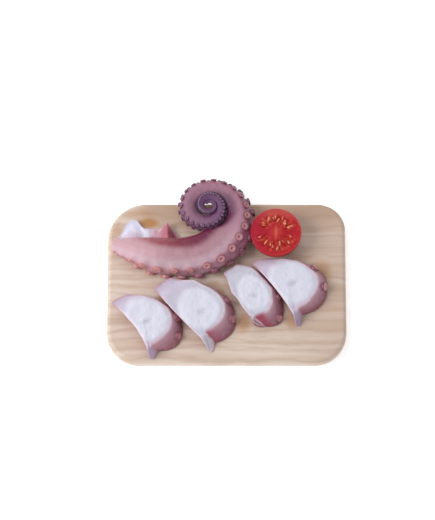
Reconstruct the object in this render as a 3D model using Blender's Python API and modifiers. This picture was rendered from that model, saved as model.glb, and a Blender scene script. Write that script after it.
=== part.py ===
"""Cooked octopus on a wooden cutting board: one curled arm, four thick slices
of another arm and half a tomato.  Metres, +Z up, +X to the right, +Y to the
back; the origin is the middle of the underside of the board."""

import math

import bmesh
import bpy
import numpy as np
from mathutils import Matrix, Vector

CM = 0.01
NAME = "cooked_octopus"
REST_GAP = 0.0003
SHARP_FROM = math.radians(40.0)

# Cutting board: a slab with round corners and softly rounded edges.
BOARD_LENGTH = 28.0 * CM
BOARD_DEPTH = 20.0 * CM
BOARD_THICK = 1.5 * CM
BOARD_CORNER = 4.6 * CM
BOARD_EDGE = 0.5 * CM
# Radius of each corner as a share of the largest: it is cut by hand.
BACK_LEFT, FRONT_LEFT, FRONT_RIGHT, BACK_RIGHT = 1.0, 0.85, 0.85, 0.72
BOARD_CORNER_STEPS = 8
BOARD_EDGE_STEPS = 3
FOOD_FLOOR = BOARD_THICK + REST_GAP

# Curled arm: a tapering rope whose curve tightens in step with its taper.
# Every length below is in centimetres along the middle line of the arm,
# counted from the thick end.
ARM_START = (-12.41, 4.26)
ARM_HEADING = -0.35
ARM_LENGTH = 44.64
ARM_TIP_LEFT_OFF = 3.2
ARM_LEAD_IN = 1.0
ARM_CURL = 6.955
CURL_FROM = 3.7
CURL_FULL = 15.2
STRAIGHT_BEND = 0.0325
SLACK_AT = 20.0
SLACK = -0.85
TIGHT_AT = 26.0
TIGHT = 1.00
LOCAL_SPREAD = 3.0
ARM_TAPER = 0.090
ARM_FLATNESS = 0.96
BACK_SWELL = 1.50
BACK_SWELL_AT = 12.0
BACK_SWELL_SPREAD = 4.8
COIL_RISE = 2.1
RISE_FROM = 21.0
RISE_OVER = 21.64
CUT_END_SIZE = 0.34
CUT_END_REACH = 7.0
ARM_STATIONS = 88
ARM_EVEN_SHARE = 0.45
ARM_SIDES = 12
PATH_STEPS = 1500

# Roll of the sucker side about the middle line, by distance along the arm:
# zero is level with the board, and it is averaged over one centimetre about.
ROLL_PLACES = (-1.0, 5.5, 9.0, 12.0, 14.7, 17.5, 20.0, 22.5, 25.0, 28.0, 31.0, 42.0)
ROLLS = (-0.36, -0.36, -0.14, 0.38, 0.78, 0.56, 0.28, 0.12, 0.14, 0.42, 0.58, 0.62)
ROLL_AVERAGED = (-1.0, -0.5, 0.0, 0.5, 1.0)

# The innermost turns sit a little off the middle of the coil.
INMOST_FROM, INMOST_OVER = 31.0, 9.0
INMOST_SHIFT = (0.24, 0.12)

# The thick part swells out along its lower edge, under the lower suckers.
LOW_SWELL = 0.42
LOW_SWELL_ANGLE, LOW_SWELL_SPREAD = -0.55, 0.50
LOW_SWELL_FROM, LOW_SWELL_RISE = 1.0, 3.0
LOW_SWELL_TO, LOW_SWELL_FALL = 12.5, 5.0

# Suckers: two staggered rows of cups, sized by the thickness of the arm.
ROW_ANGLE = 0.475
CUP_PITCH = 0.0440
CUP_PITCH_DROP = 0.0130
CUP_PITCH_FROM = 24.0
CUP_PITCH_OVER = 10.0
CUP_FIRST = -0.5
CUP_LAST = 37.5
CUP_LOW_LAST = 27.5
CUP_LOWEST = -0.44
CUP_SMALL = 0.5
CUP_SMALL_PITCH_FROM, CUP_SMALL_PITCH_OVER = -1.0, 5.0
CUP_SMALL_SIZE = 0.62
CUP_SMALL_SIZE_FROM, CUP_SMALL_SIZE_OVER = 4.0, 6.0
CUP_FOOT_RADIUS = 0.155
CUP_RIM_RADIUS = 0.165
CUP_HOLE_RADIUS = 0.095
CUP_HOLE_DEPTH = 0.07
CUP_RIM_HEIGHT = 0.62
CUP_FOOT_HEIGHT = 0.40
CUP_SIDES = 8
CUP_SIDES_FINE = 6
CUP_FINE_FROM = 14.5

# Web left on the thick end: a sloping sheet with two points, its edge given
# as the distance back from the middle of the board (centimetres).
WEB_LEFT = -13.35
WEB_RIGHT = -5.75
WEB_BACK = 5.2
WEB_SWELL = 1.42
WEB_POINTS = ((-11.15, 1.30, 1.05, 3.2), (-7.0, 1.32, 0.62, 1.1), (-5.9, 0.35, 0.6, 2.0))
WEB_SPAN_LEFT = -13.50
WEB_SPAN = 8.0
WEB_EDGE_THICK = 0.42
WEB_EDGE_ROUND = 0.15
WEB_POINT_LIFT = 0.55
WEB_ROOT_INTO_ARM = 0.12
WEB_LEAST = 0.3
WEB_ROOT_TOP, WEB_ROOT_TOP_SHARE = 1.75, 0.75
WEB_ROOT_LOW, WEB_ROOT_LOW_SHARE = 0.45, 0.25
WEB_UNDER = 0.06
WEB_STATIONS = 30

# Slices: corner the flat back starts from and its heading, length and belly,
# skew and squareness of the belly, sag of the back, blunt end of the wing,
# width, length, turn and hook of the web tail, and what changes in the foot.
SLICES = {
    "slice_1": dict(
        corner=(-13.60, -3.05), heading=-0.92, length=7.10, belly=4.40, skew=1.70,
        square=0.30, sag=-0.45, blunt=0.75, root=0.50, tail=1.30, turn=-0.75, hook=0.80,
        foot_length=0.90, foot_wider=0.45, foot_end=1.15,
    ),
    "slice_2": dict(
        corner=(-8.62, -1.30), heading=-0.84, length=8.30, belly=4.50, skew=1.72,
        square=0.30, sag=0.15, blunt=1.15, root=0.85, tail=1.85, turn=-0.17, hook=-0.10,
        foot_length=0.97, foot_wider=0.50, foot_end=0.80,
    ),
    "slice_3": dict(
        corner=(-0.45, 0.77), heading=-1.05, length=6.80, belly=3.38, skew=1.42,
        square=0.28, sag=0.40, blunt=1.20, root=0.40, tail=0.50, turn=-0.25, hook=-0.10,
        foot_length=0.99, foot_wider=0.15, foot_end=0.80,
    ),
    "slice_4": dict(
        corner=(2.88, 1.85), heading=-0.92, length=7.80, belly=4.55, skew=1.70,
        square=0.36, sag=-0.20, blunt=0.55, root=0.75, tail=1.70, turn=-0.38, hook=-0.10,
        foot_length=0.89, foot_wider=0.65, foot_end=0.80,
    ),
}
SLICE_HEIGHT = 1.8
SLICE_LEAN = (1.47, -0.50)
SLICE_EDGE = 0.10
SLICE_BULGE = 0.14
FACE_END = 0.15
END_FROM, END_OVER = 0.60, 0.35
FOOT_SKEW = 0.94
FOOT_SAG = -0.35
FOOT_BLUNT = 0.80
FOOT_ROOT = 0.45
FOOT_TAIL = 0.25
TAIL_TIP = 0.16
WING_DROP, WING_REACH = 0.45, 0.25
TAIL_DROP, TAIL_REACH = 1.55, 0.90
SLICE_MIDDLE = (0.58, 0.42)
SLICE_INNER = 0.60
SLICE_LEVELS = (0.35, 0.70)
# The outline is walked in many even steps, softened and then thinned out.
OUTLINE_STEPS = 220
OUTLINE_SKIP = 5
BELLY_STEPS = 400
TAIL_STEPS = 40
BACK_STEPS = 200
FACE_SOFT = 4
FOOT_SOFT = 32
# Suckers of the slices: share of the outline they sit at, share of the height.
SLICE_CUPS = {
    "slice_1": ((0.38, 0.42),),
    "slice_2": ((0.305, 0.50), (0.38, 0.40)),
    "slice_3": ((0.415, 0.40),),
    "slice_4": ((0.28, 0.55), (0.37, 0.45)),
}
SLICE_CUP_RADIUS = 0.42
SLICE_CUP_FLARE = 1.15
SLICE_CUP_HOLE = 0.60
SLICE_CUP_TALL = 0.42
SLICE_CUP_SUNK = 0.14

# Half tomato, cut face up.
TOMATO_MIDDLE = (5.78, 5.28)
TOMATO_RADIUS = 2.98
TOMATO_DEPTH = 2.75
TOMATO_RIM = 0.12
TOMATO_RINGS = 9
TOMATO_SIDES = 32
TOMATO_FLAT = 0.35

WOOD_COLOUR = (0.70, 0.50, 0.30, 1.0)
ARM_COLOUR = (0.48, 0.26, 0.29, 1.0)
SLICE_COLOUR = (0.80, 0.76, 0.76, 1.0)
TOMATO_COLOUR = (0.55, 0.03, 0.02, 1.0)


def clear_file():
    for thing in list(bpy.data.objects):
        bpy.data.objects.remove(thing, do_unlink=True)


def new_collection(name):
    group = bpy.data.collections.new(name)
    bpy.context.scene.collection.children.link(group)
    return group


def new_material(name, colour, roughness):
    material = bpy.data.materials.new(name)
    material.use_nodes = True
    shader = material.node_tree.nodes["Principled BSDF"]
    shader.inputs["Base Color"].default_value = colour
    shader.inputs["Roughness"].default_value = roughness
    material.diffuse_color = colour
    return material


def finish_object(name, bm, material, group):
    bmesh.ops.recalc_face_normals(bm, faces=bm.faces[:])
    mesh = bpy.data.meshes.new(name)
    bm.to_mesh(mesh)
    bm.free()
    mesh.shade_smooth()
    mesh.set_sharp_from_angle(angle=SHARP_FROM)
    mesh.materials.append(material)
    thing = bpy.data.objects.new(name, mesh)
    group.objects.link(thing)
    return thing


def as_cutter(thing):
    thing.hide_render = True
    thing.display_type = "WIRE"


def unite(thing, tool):
    step = thing.modifiers.new("with_" + tool.name, "BOOLEAN")
    step.operation = "UNION"
    step.solver = "EXACT"
    step.object = tool


def loft(bm, rings, peak=None):
    """Skin a list of equal rings and close both ends, the last on a peak."""
    rows = []
    for ring in rings:
        rows.append([bm.verts.new(point) for point in ring])
    count = len(rows[0])
    for near, far in zip(rows, rows[1:]):
        for i in range(count):
            j = (i + 1) % count
            bm.faces.new((near[i], near[j], far[j], far[i]))
    bm.faces.new(rows[0][::-1])
    if peak is None:
        bm.faces.new(rows[-1])
        return
    top = bm.verts.new(peak)
    for i in range(count):
        bm.faces.new((rows[-1][i], rows[-1][(i + 1) % count], top))


def ease(t):
    t = min(max(t, 0.0), 1.0)
    return t * t * (3.0 - 2.0 * t)


def eased(values):
    return np.array([ease(value) for value in values])


def hump(x, middle, spread):
    return math.exp(-(((x - middle) / spread) ** 2))


# ---------------------------------------------------------------- the board
def corner_share(place):
    if place.x < 0.0:
        return BACK_LEFT if place.y > 0.0 else FRONT_LEFT
    return BACK_RIGHT if place.y > 0.0 else FRONT_RIGHT


def make_board(group):
    bm = bmesh.new()
    bmesh.ops.create_cube(bm, size=1.0)
    for vert in bm.verts:
        vert.co.x *= BOARD_LENGTH
        vert.co.y *= BOARD_DEPTH
        vert.co.z = (vert.co.z + 0.5) * BOARD_THICK
    weight = bm.edges.layers.float.new("bevel_weight_edge")
    for edge in bm.edges:
        low, high = edge.verts
        upright = abs(low.co.z - high.co.z) > 0.5 * BOARD_THICK
        edge[weight] = corner_share(low.co) if upright else 0.0
    material = new_material("board_wood", WOOD_COLOUR, 0.6)
    board = finish_object("board", bm, material, group)
    corners = board.modifiers.new("corners", "BEVEL")
    corners.limit_method = "WEIGHT"
    corners.width = BOARD_CORNER
    corners.segments = BOARD_CORNER_STEPS
    rim = board.modifiers.new("rim", "BEVEL")
    rim.limit_method = "ANGLE"
    rim.angle_limit = math.radians(50.0)
    rim.width = BOARD_EDGE
    rim.segments = BOARD_EDGE_STEPS
    return board


# ------------------------------------------------------------ the curled arm
def arm_bend(s):
    left = ARM_LENGTH - s
    curl = ARM_CURL + SLACK * hump(s, SLACK_AT, LOCAL_SPREAD)
    curl += TIGHT * hump(s, TIGHT_AT, LOCAL_SPREAD)
    blend = ease((s - CURL_FROM) / (CURL_FULL - CURL_FROM))
    return blend * curl / left + (1.0 - blend) * STRAIGHT_BEND


def cut_end_size(s):
    part = min(max((s + ARM_LEAD_IN) / CUT_END_REACH, 0.0), 1.0)
    return CUT_END_SIZE + (1.0 - CUT_END_SIZE) * math.sin(0.5 * math.pi * part)


def arm_thickness(s):
    return ARM_TAPER * (ARM_LENGTH - s) * cut_end_size(s)


def walk_arm():
    """Middle line of the arm as (s, x, y, heading), all in centimetres."""
    end = ARM_LENGTH - ARM_TIP_LEFT_OFF
    step = end / PATH_STEPS
    x, y = ARM_START
    heading = ARM_HEADING
    line = [(0.0, x, y, heading)]
    for i in range(PATH_STEPS):
        middle = (i + 0.5) * step
        heading += 0.5 * step * arm_bend(middle)
        x += step * math.cos(heading)
        y += step * math.sin(heading)
        heading += 0.5 * step * arm_bend(middle)
        line.append(((i + 1) * step, x, y, heading))
    return line


def arm_point(line, s):
    """Place, outward side and roll of the arm at distance s."""
    if s <= 0.0:
        _, x, y, heading = line[0]
        x += s * math.cos(heading)
        y += s * math.sin(heading)
    else:
        place = s / line[-1][0] * PATH_STEPS
        i = min(int(place), PATH_STEPS - 1)
        part = place - i
        low, high = line[i], line[i + 1]
        x = low[1] + part * (high[1] - low[1])
        y = low[2] + part * (high[2] - low[2])
        heading = low[3] + part * (high[3] - low[3])
    inmost = ease((s - INMOST_FROM) / INMOST_OVER)
    x += INMOST_SHIFT[0] * inmost
    y += INMOST_SHIFT[1] * inmost
    thick = arm_thickness(s)
    rise = COIL_RISE * ease((s - RISE_FROM) / RISE_OVER)
    z = 0.5 * ARM_FLATNESS * thick + rise
    out = Vector((math.sin(heading), -math.cos(heading), 0.0))
    along = Vector((math.cos(heading), math.sin(heading), 0.0))
    return Vector((x, y, z)), out, along, thick


def arm_roll(s):
    near = [float(np.interp(s + step, ROLL_PLACES, ROLLS)) for step in ROLL_AVERAGED]
    return sum(near) / len(near)


def low_swell(s):
    """How far the lower edge of the arm swells out at distance s."""
    begun = ease((s - LOW_SWELL_FROM) / LOW_SWELL_RISE)
    return LOW_SWELL * begun * ease((LOW_SWELL_TO - s) / LOW_SWELL_FALL)


def to_board(point):
    return Vector((point.x * CM, point.y * CM, FOOD_FLOOR + point.z * CM))


def arm_stations():
    """Distances along the arm, closer together where it is thinner."""
    span = ARM_LENGTH + ARM_LEAD_IN
    ratio = ARM_TIP_LEFT_OFF / span
    stations = []
    for i in range(ARM_STATIONS + 1):
        part = i / ARM_STATIONS
        even = 1.0 - part * (1.0 - ratio)
        close = ratio ** part
        left = span * (ARM_EVEN_SHARE * even + (1.0 - ARM_EVEN_SHARE) * close)
        stations.append(ARM_LENGTH - left)
    return stations


def make_arm_body(line):
    bm = bmesh.new()
    rings = []
    up = Vector((0.0, 0.0, 1.0))
    for s in arm_stations():
        middle, out, _, thick = arm_point(line, s)
        swell = BACK_SWELL * hump(s, BACK_SWELL_AT, BACK_SWELL_SPREAD)
        ring = []
        for k in range(ARM_SIDES):
            turn = 2.0 * math.pi * k / ARM_SIDES
            if turn > math.pi:
                turn -= 2.0 * math.pi
            low = low_swell(s) * hump(turn, LOW_SWELL_ANGLE, LOW_SWELL_SPREAD)
            reach = 0.5 * thick + max(-math.cos(turn), 0.0) * swell + low
            side = reach * math.cos(turn)
            tall = (0.5 * thick * ARM_FLATNESS + low) * math.sin(turn)
            ring.append(to_board(middle + side * out + tall * up))
        rings.append(ring)
    loft(bm, rings)
    return bm


def cup_places(row):
    """Distances of the suckers of one row; the rows are half a pitch apart."""
    places = []
    s = CUP_FIRST
    last = CUP_LAST if row > 0 else CUP_LOW_LAST
    while s < last:
        drop = ease((s - CUP_PITCH_FROM) / CUP_PITCH_OVER)
        pitch = (CUP_PITCH - CUP_PITCH_DROP * drop) * (ARM_LENGTH - s)
        grown = ease((s - CUP_SMALL_PITCH_FROM) / CUP_SMALL_PITCH_OVER)
        pitch *= CUP_SMALL + (1.0 - CUP_SMALL) * grown
        places.append(s if row > 0 else s + 0.5 * pitch)
        s += pitch
    return places


def add_cup(bm, foot, axis, along, sizes, sides):
    """A sucker: a cone with a dished top, standing on its foot."""
    foot_radius, rim_radius, hole_radius, height, depth = sizes
    across = axis.cross(along).normalized()
    along = across.cross(axis).normalized()
    turned = Matrix((along, across, axis)).transposed().to_4x4()
    stand = Matrix.Translation(foot + 0.5 * height * axis) @ turned
    cone = bmesh.ops.create_cone(
        bm, cap_ends=True, segments=sides, radius1=foot_radius, radius2=rim_radius,
        depth=height, matrix=stand,
    )
    top = {vert for vert in cone["verts"] if (vert.co - foot).dot(axis) > 0.5 * height}
    lid = next(face for face in bm.faces if set(face.verts) == top)
    if sides == CUP_SIDES:
        inset = (rim_radius - hole_radius) * math.cos(math.pi / sides)
        bmesh.ops.inset_individual(bm, faces=[lid], thickness=inset)
    dish = bmesh.ops.poke(bm, faces=[lid])["verts"][0]
    dish.co = foot + (height - depth) * axis


def make_arm_cups(line):
    bm = bmesh.new()
    up = Vector((0.0, 0.0, 1.0))
    for row in (1, -1):
        for s in cup_places(row):
            middle, out, along, thick = arm_point(line, s)
            angle = max(arm_roll(s) + row * ROW_ANGLE, CUP_LOWEST)
            axis = math.cos(angle) * out + math.sin(angle) * up
            low = low_swell(s) if row < 0 else 0.0
            foot = middle + (CUP_FOOT_HEIGHT * thick + low) * axis
            grown = ease((s - CUP_SMALL_SIZE_FROM) / CUP_SMALL_SIZE_OVER)
            size = thick * (CUP_SMALL_SIZE + (1.0 - CUP_SMALL_SIZE) * grown) * CM
            sizes = (
                CUP_FOOT_RADIUS * size,
                CUP_RIM_RADIUS * size,
                CUP_HOLE_RADIUS * size,
                (CUP_RIM_HEIGHT - CUP_FOOT_HEIGHT) * thick * CM,
                CUP_HOLE_DEPTH * size,
            )
            sides = CUP_SIDES if s < CUP_FINE_FROM else CUP_SIDES_FINE
            add_cup(bm, to_board(foot), axis, along, sizes, sides)
    return bm


def web_edge(x):
    part = (x - WEB_SPAN_LEFT) / WEB_SPAN
    edge = WEB_BACK + WEB_SWELL * math.sin(math.pi * part)
    for middle, reach, spread, power in WEB_POINTS:
        edge += reach * math.exp(-((abs(x - middle) / spread) ** power))
    return edge


def make_web(line):
    bm = bmesh.new()
    rings = []
    for i in range(WEB_STATIONS + 1):
        part = i / WEB_STATIONS
        x = WEB_LEFT + part * (WEB_RIGHT - WEB_LEFT)
        s = (x - ARM_START[0]) / math.cos(0.5 * ARM_HEADING)
        middle, _, _, thick = arm_point(line, s)
        root = middle.y + WEB_ROOT_INTO_ARM * thick
        edge = max(web_edge(x), root + WEB_LEAST)
        fin = hump(x, WEB_POINTS[1][0], WEB_POINTS[1][2])
        top = WEB_EDGE_THICK + WEB_POINT_LIFT * fin
        root_top = min(WEB_ROOT_TOP, WEB_ROOT_TOP_SHARE * thick)
        root_low = min(WEB_ROOT_LOW, WEB_ROOT_LOW_SHARE * thick)
        half = 0.5 * (root + edge)
        half_top = 0.5 * (root_top + top)
        profile = (
            (root, root_low),
            (half, WEB_UNDER),
            (edge - WEB_EDGE_ROUND, 0.0),
            (edge, 0.4 * top),
            (edge - WEB_EDGE_ROUND, top),
            (half, half_top),
            (root, root_top),
        )
        rings.append([to_board(Vector((x, y, z))) for y, z in profile])
    loft(bm, rings)
    return bm


def make_arm(group, tools):
    line = walk_arm()
    material = new_material("arm_skin", ARM_COLOUR, 0.4)
    arm = finish_object("curled_arm", make_arm_body(line), material, group)
    web = finish_object("arm_web", make_web(line), material, tools)
    cups = finish_object("arm_suckers", make_arm_cups(line), material, tools)
    for tool in (web, cups):
        as_cutter(tool)
        unite(arm, tool)
    return arm


# ---------------------------------------------------------------- the slices
def slice_outline(size, foot):
    """Outline of a slice on its own axes: belly, tail of web, flat back."""
    length, belly, skew, end = size["length"], size["belly"], size["skew"], FACE_END
    sag, blunt, root, tail = size["sag"], size["blunt"], size["root"], size["tail"]
    if foot:
        length *= size["foot_length"]
        belly += size["foot_wider"]
        end = size["foot_end"]
        skew *= FOOT_SKEW
        sag += FOOT_SAG
        blunt *= FOOT_BLUNT
        root *= FOOT_ROOT
        tail *= FOOT_TAIL
    t = 0.5 - 0.5 * np.cos(math.pi * np.linspace(0.0, 1.0, BELLY_STEPS + 1))
    swell = np.maximum(np.sin(math.pi * t ** skew), 0.0) ** size["square"]
    v = belly * swell + blunt * (1.0 - t) ** 3 + root * t
    bulge = np.sin(math.pi * np.clip(v / (belly + root), 0.0, 1.0))
    u = length * t + end * eased((t - END_FROM) / END_OVER) * bulge
    belly_side = np.stack([u, v], 1)
    t = np.linspace(0.0, 1.0, TAIL_STEPS + 1)
    turn = size["turn"] + size["hook"] * t
    step = tail / TAIL_STEPS * np.stack([np.cos(turn), np.sin(turn)], 1)
    middle = np.array([length, 0.5 * root]) + np.cumsum(step, 0) - step[0]
    half = 0.5 * (root * (1.0 - t) ** 0.8 + TAIL_TIP * t)
    side = half[:, None] * np.stack([-np.sin(turn), np.cos(turn)], 1)
    t = np.linspace(1.0, 0.0, BACK_STEPS + 1)[1:-1]
    back = np.stack([length * t, -sag * np.sin(math.pi * t)], 1)
    return np.concatenate([belly_side, middle + side, (middle - side)[::-1], back])


def evened(outline, places, total, passes):
    """Take the outline at even places along it and soften its corners."""
    closed = np.vstack([outline, outline[:1]])
    even = [np.interp(places, total, closed[:, axis]) for axis in (0, 1)]
    points = np.stack(even, 1)
    for _ in range(passes):
        points = 0.5 * points + 0.25 * (np.roll(points, 1, 0) + np.roll(points, -1, 0))
    return points


def slice_rims(size):
    """Matching outlines of the face and of the foot, and the drop of the face."""
    face, foot = slice_outline(size, False), slice_outline(size, True)
    gaps = np.linalg.norm(np.diff(np.vstack([face, face[:1]]), axis=0), axis=1)
    total = np.concatenate([[0.0], np.cumsum(gaps)])
    places = np.linspace(0.0, total[-1], OUTLINE_STEPS, endpoint=False)
    face = evened(face, places, total, FACE_SOFT)[::OUTLINE_SKIP]
    foot = evened(foot, places, total, FOOT_SOFT)[::OUTLINE_SKIP]
    length, tail = size["length"], size["tail"]
    drop = WING_DROP * (1.0 - eased(face[:, 0] / (WING_REACH * length)))
    drop = drop + TAIL_DROP * eased((face[:, 0] - length - 0.1) / (TAIL_REACH * tail))
    return face, foot, drop


def pushed(ring, amount):
    """Move each point of a ring outwards in plan."""
    edge = np.roll(ring, -1, 0) - np.roll(ring, 1, 0)
    outward = np.stack([-edge[:, 1], edge[:, 0], 0.0 * edge[:, 0]], 1)
    outward /= np.linalg.norm(outward, axis=1)[:, None]
    return ring + amount * outward


def slice_level(size, part):
    """Ring of a slice at a share of its height, 0 at the foot, 1 at the face."""
    face, foot, drop = slice_rims(size)
    u, v = (foot + part * (face - foot)).T
    cos, sin = math.cos(size["heading"]), math.sin(size["heading"])
    x = size["corner"][0] + cos * u - sin * v + (1.0 - part) * SLICE_LEAN[0]
    y = size["corner"][1] + sin * u + cos * v + (1.0 - part) * SLICE_LEAN[1]
    ring = np.stack([x, y, part * (SLICE_HEIGHT - drop)], 1)
    return pushed(ring, SLICE_BULGE * math.sin(math.pi * part))


def face_middle(size):
    """Point of the cut face that the face is fanned out from."""
    along, across = SLICE_MIDDLE[0] * size["length"], SLICE_MIDDLE[1] * size["belly"]
    cos, sin = math.cos(size["heading"]), math.sin(size["heading"])
    x = size["corner"][0] + cos * along - sin * across
    y = size["corner"][1] + sin * along + cos * across
    return np.array([x, y, SLICE_HEIGHT])


def inner_ring(size, face):
    """A smaller ring on the face; it still drops on the side of the wing."""
    middle = face_middle(size)
    inner = middle + SLICE_INNER * (face - middle)
    way = np.array([math.cos(size["heading"]), math.sin(size["heading"])])
    u = (inner[:, :2] - np.array(size["corner"])) @ way
    drop = WING_DROP * (1.0 - eased(u / (WING_REACH * size["length"])))
    inner[:, 2] = SLICE_HEIGHT - drop
    return inner


def make_slice(name, group, tools):
    size = SLICES[name]
    bm = bmesh.new()
    soft = SLICE_EDGE / SLICE_HEIGHT
    rings = [pushed(slice_level(size, 0.0), -SLICE_EDGE)]
    for part in (soft, *SLICE_LEVELS, 1.0 - soft):
        rings.append(slice_level(size, part))
    face = pushed(slice_level(size, 1.0), -SLICE_EDGE)
    rings.append(face)
    rings.append(inner_ring(size, face))
    placed = [[to_board(Vector(point)) for point in ring] for ring in rings]
    loft(bm, placed, to_board(Vector(face_middle(size))))
    material = new_material(name + "_flesh", SLICE_COLOUR, 0.45)
    piece = finish_object(name, bm, material, group)
    cups = bmesh.new()
    up = Vector((0.0, 0.0, 1.0))
    radius = SLICE_CUP_RADIUS * CM
    sizes = (
        SLICE_CUP_FLARE * radius,
        radius,
        SLICE_CUP_HOLE * radius,
        SLICE_CUP_TALL * CM,
        SLICE_CUP_SUNK * CM,
    )
    for where, part in SLICE_CUPS[name]:
        ring = slice_level(size, part)
        spot = round(where * len(ring))
        edge = Vector(ring[spot + 1] - ring[spot - 1])
        axis = Vector((-edge.y, edge.x, 0.0)).normalized()
        foot = to_board(Vector(ring[spot])) - SLICE_CUP_SUNK * CM * axis
        add_cup(cups, foot, axis, up, sizes, CUP_SIDES)
    tool = finish_object(name + "_suckers", cups, material, tools)
    as_cutter(tool)
    unite(piece, tool)
    return piece


# ----------------------------------------------------------- the half tomato
def make_tomato(group):
    profile = [(0.0, TOMATO_DEPTH), (TOMATO_RADIUS - TOMATO_RIM, TOMATO_DEPTH)]
    profile.append((TOMATO_RADIUS, TOMATO_DEPTH - TOMATO_RIM))
    low_turn = math.asin(TOMATO_FLAT / TOMATO_RADIUS)
    for i in range(1, TOMATO_RINGS):
        turn = 0.5 * math.pi + i / (TOMATO_RINGS - 1) * (low_turn - 0.5 * math.pi)
        height = (TOMATO_DEPTH - TOMATO_RIM) * (1.0 - math.cos(turn))
        profile.append((TOMATO_RADIUS * math.sin(turn), height))
    profile[-1] = (TOMATO_FLAT, 0.0)
    profile.append((0.0, 0.0))
    mesh = bpy.data.meshes.new("tomato_half")
    points = [(radius * CM, 0.0, height * CM) for radius, height in profile]
    edges = [(i, i + 1) for i in range(len(points) - 1)]
    mesh.from_pydata(points, edges, [])
    mesh.materials.append(new_material("tomato_flesh", TOMATO_COLOUR, 0.35))
    tomato = bpy.data.objects.new("tomato_half", mesh)
    tomato.location = to_board(Vector((*TOMATO_MIDDLE, 0.0)))
    group.objects.link(tomato)
    turned = tomato.modifiers.new("turned", "SCREW")
    turned.steps = TOMATO_SIDES
    turned.render_steps = TOMATO_SIDES
    turned.use_merge_vertices = True
    turned.merge_threshold = 0.0001
    turned.use_smooth_shade = True
    turned.use_normal_calculate = True
    return tomato


clear_file()
pieces = new_collection(NAME)
cutters = new_collection("cutters")
make_board(pieces)
make_arm(pieces, cutters)
for slice_name in SLICES:
    make_slice(slice_name, pieces, cutters)
make_tomato(pieces)
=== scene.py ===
import math

import bpy
import numpy as np
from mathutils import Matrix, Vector, noise


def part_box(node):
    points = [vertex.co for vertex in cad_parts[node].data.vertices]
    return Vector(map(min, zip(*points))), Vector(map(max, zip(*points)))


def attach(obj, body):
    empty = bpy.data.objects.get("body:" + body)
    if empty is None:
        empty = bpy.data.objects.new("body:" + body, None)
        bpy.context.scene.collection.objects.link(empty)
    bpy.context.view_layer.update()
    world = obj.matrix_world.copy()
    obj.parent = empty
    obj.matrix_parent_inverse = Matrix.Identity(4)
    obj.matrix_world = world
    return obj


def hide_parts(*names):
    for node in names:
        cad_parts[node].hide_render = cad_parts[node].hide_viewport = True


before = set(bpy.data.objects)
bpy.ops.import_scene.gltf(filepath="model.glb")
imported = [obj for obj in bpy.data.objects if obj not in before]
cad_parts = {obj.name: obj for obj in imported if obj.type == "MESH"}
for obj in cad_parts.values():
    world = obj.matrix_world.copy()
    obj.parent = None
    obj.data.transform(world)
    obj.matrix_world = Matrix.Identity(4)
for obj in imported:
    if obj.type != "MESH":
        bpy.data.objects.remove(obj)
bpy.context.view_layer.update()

# Cooked octopus on a small wooden cutting board: one curled arm, four thick
# slices of another arm and half a tomato.  Metres, +Z up, +Y to the back; the
# origin is the middle of the underside of the board.
CM = 0.01

# ------------------------------------------------------------ cutting board
# A single plank of pale hardwood with round corners and softly rounded edges, planed and oiled.
# Amber patches around the food are partly juice stains and partly painted warm shade under and
# between the pieces.
board_low, board_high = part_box("board")
BOARD_CORNERS = (3.31 * CM, 4.60 * CM, 3.91 * CM, 3.91 * CM)
BOARD_EDGE = 0.5 * CM
BOARD_CORNER_STEPS, BOARD_SIDE_STEPS, BOARD_EDGE_STEPS = 28, 24, 10
WOOD_PALE, WOOD_MIDDLE, WOOD_DARK = (219, 201, 188), (205, 181, 162), (176, 146, 122)
WOOD_FIBRE, WOOD_STAIN_AND_SHADE, WOOD_PAINTED_SHADE = (150, 116, 92), (176, 120, 58), (168, 132, 106)
# Place, reach and strength of each amber patch, juice stain and painted warm shade, in centimetres.
STAINS_AND_SHADE = (
    (-9.2, 7.45, 1.45, 0.75, 0.90), (-12.9, 6.0, 0.9, 2.0, 0.40), (-10.3, 8.6, 2.4, 0.9, 0.30),
    (1.9, -5.1, 1.1, 1.4, 0.60), (-6.3, -6.6, 1.6, 0.7, 0.40), (8.8, 3.1, 1.8, 0.6, 0.28),
    (-1.5, -0.2, 0.9, 0.5, 0.34), (-0.8, -1.6, 0.9, 1.3, 0.50), (-7.3, -2.3, 1.0, 1.2, 0.70),
    (6.2, -2.2, 0.8, 1.1, 0.40), (7.6, -4.8, 1.0, 1.4, 0.52), (11.1, 1.3, 1.5, 1.9, 0.52),
    (-1.9, -7.5, 1.1, 0.6, 0.32),
)


def paint(red, green, blue):
    """Linear colour of a paint chip given in 0..255 steps."""
    chip = np.array([red, green, blue]) / 255.0
    chip = np.where(chip <= 0.04045, chip / 12.92, ((chip + 0.055) / 1.055) ** 2.4)
    return (*chip.tolist(), 1.0)


def placed(name, data):
    """A new object in the scene."""
    piece = bpy.data.objects.new(name, data)
    bpy.context.scene.collection.objects.link(piece)
    return piece


def skin_rings(name, rings, material, first, last):
    """Mesh through a stack of equal rings, closed at each end on a point."""
    rings = np.array(rings)
    rows, count, _ = rings.shape
    sides = [(i, (i + 1) % count) for i in range(count)]
    faces = []
    for low in range(0, (rows - 1) * count, count):
        high = low + count
        faces += [(low + i, low + j, high + j, high + i) for i, j in sides]
    top, tip = (rows - 1) * count, rows * count
    faces += [(j, i, tip) for i, j in sides]
    faces += [(top + i, top + j, tip + 1) for i, j in sides]
    points = np.concatenate([rings.reshape(-1, 3), [first, last]])
    mesh = bpy.data.meshes.new(name)
    mesh.from_pydata(points.tolist(), [], faces)
    mesh.materials.append(material)
    mesh.shade_smooth()
    mesh.update()
    return placed(name, mesh)


def mark(piece, name, values, *ends):
    """Store one number for each point of a piece, its two end points last."""
    layer = piece.data.attributes.new(name, "FLOAT", "POINT")
    layer.data.foreach_set("value", np.append(values, ends).astype(np.float32))


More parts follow.
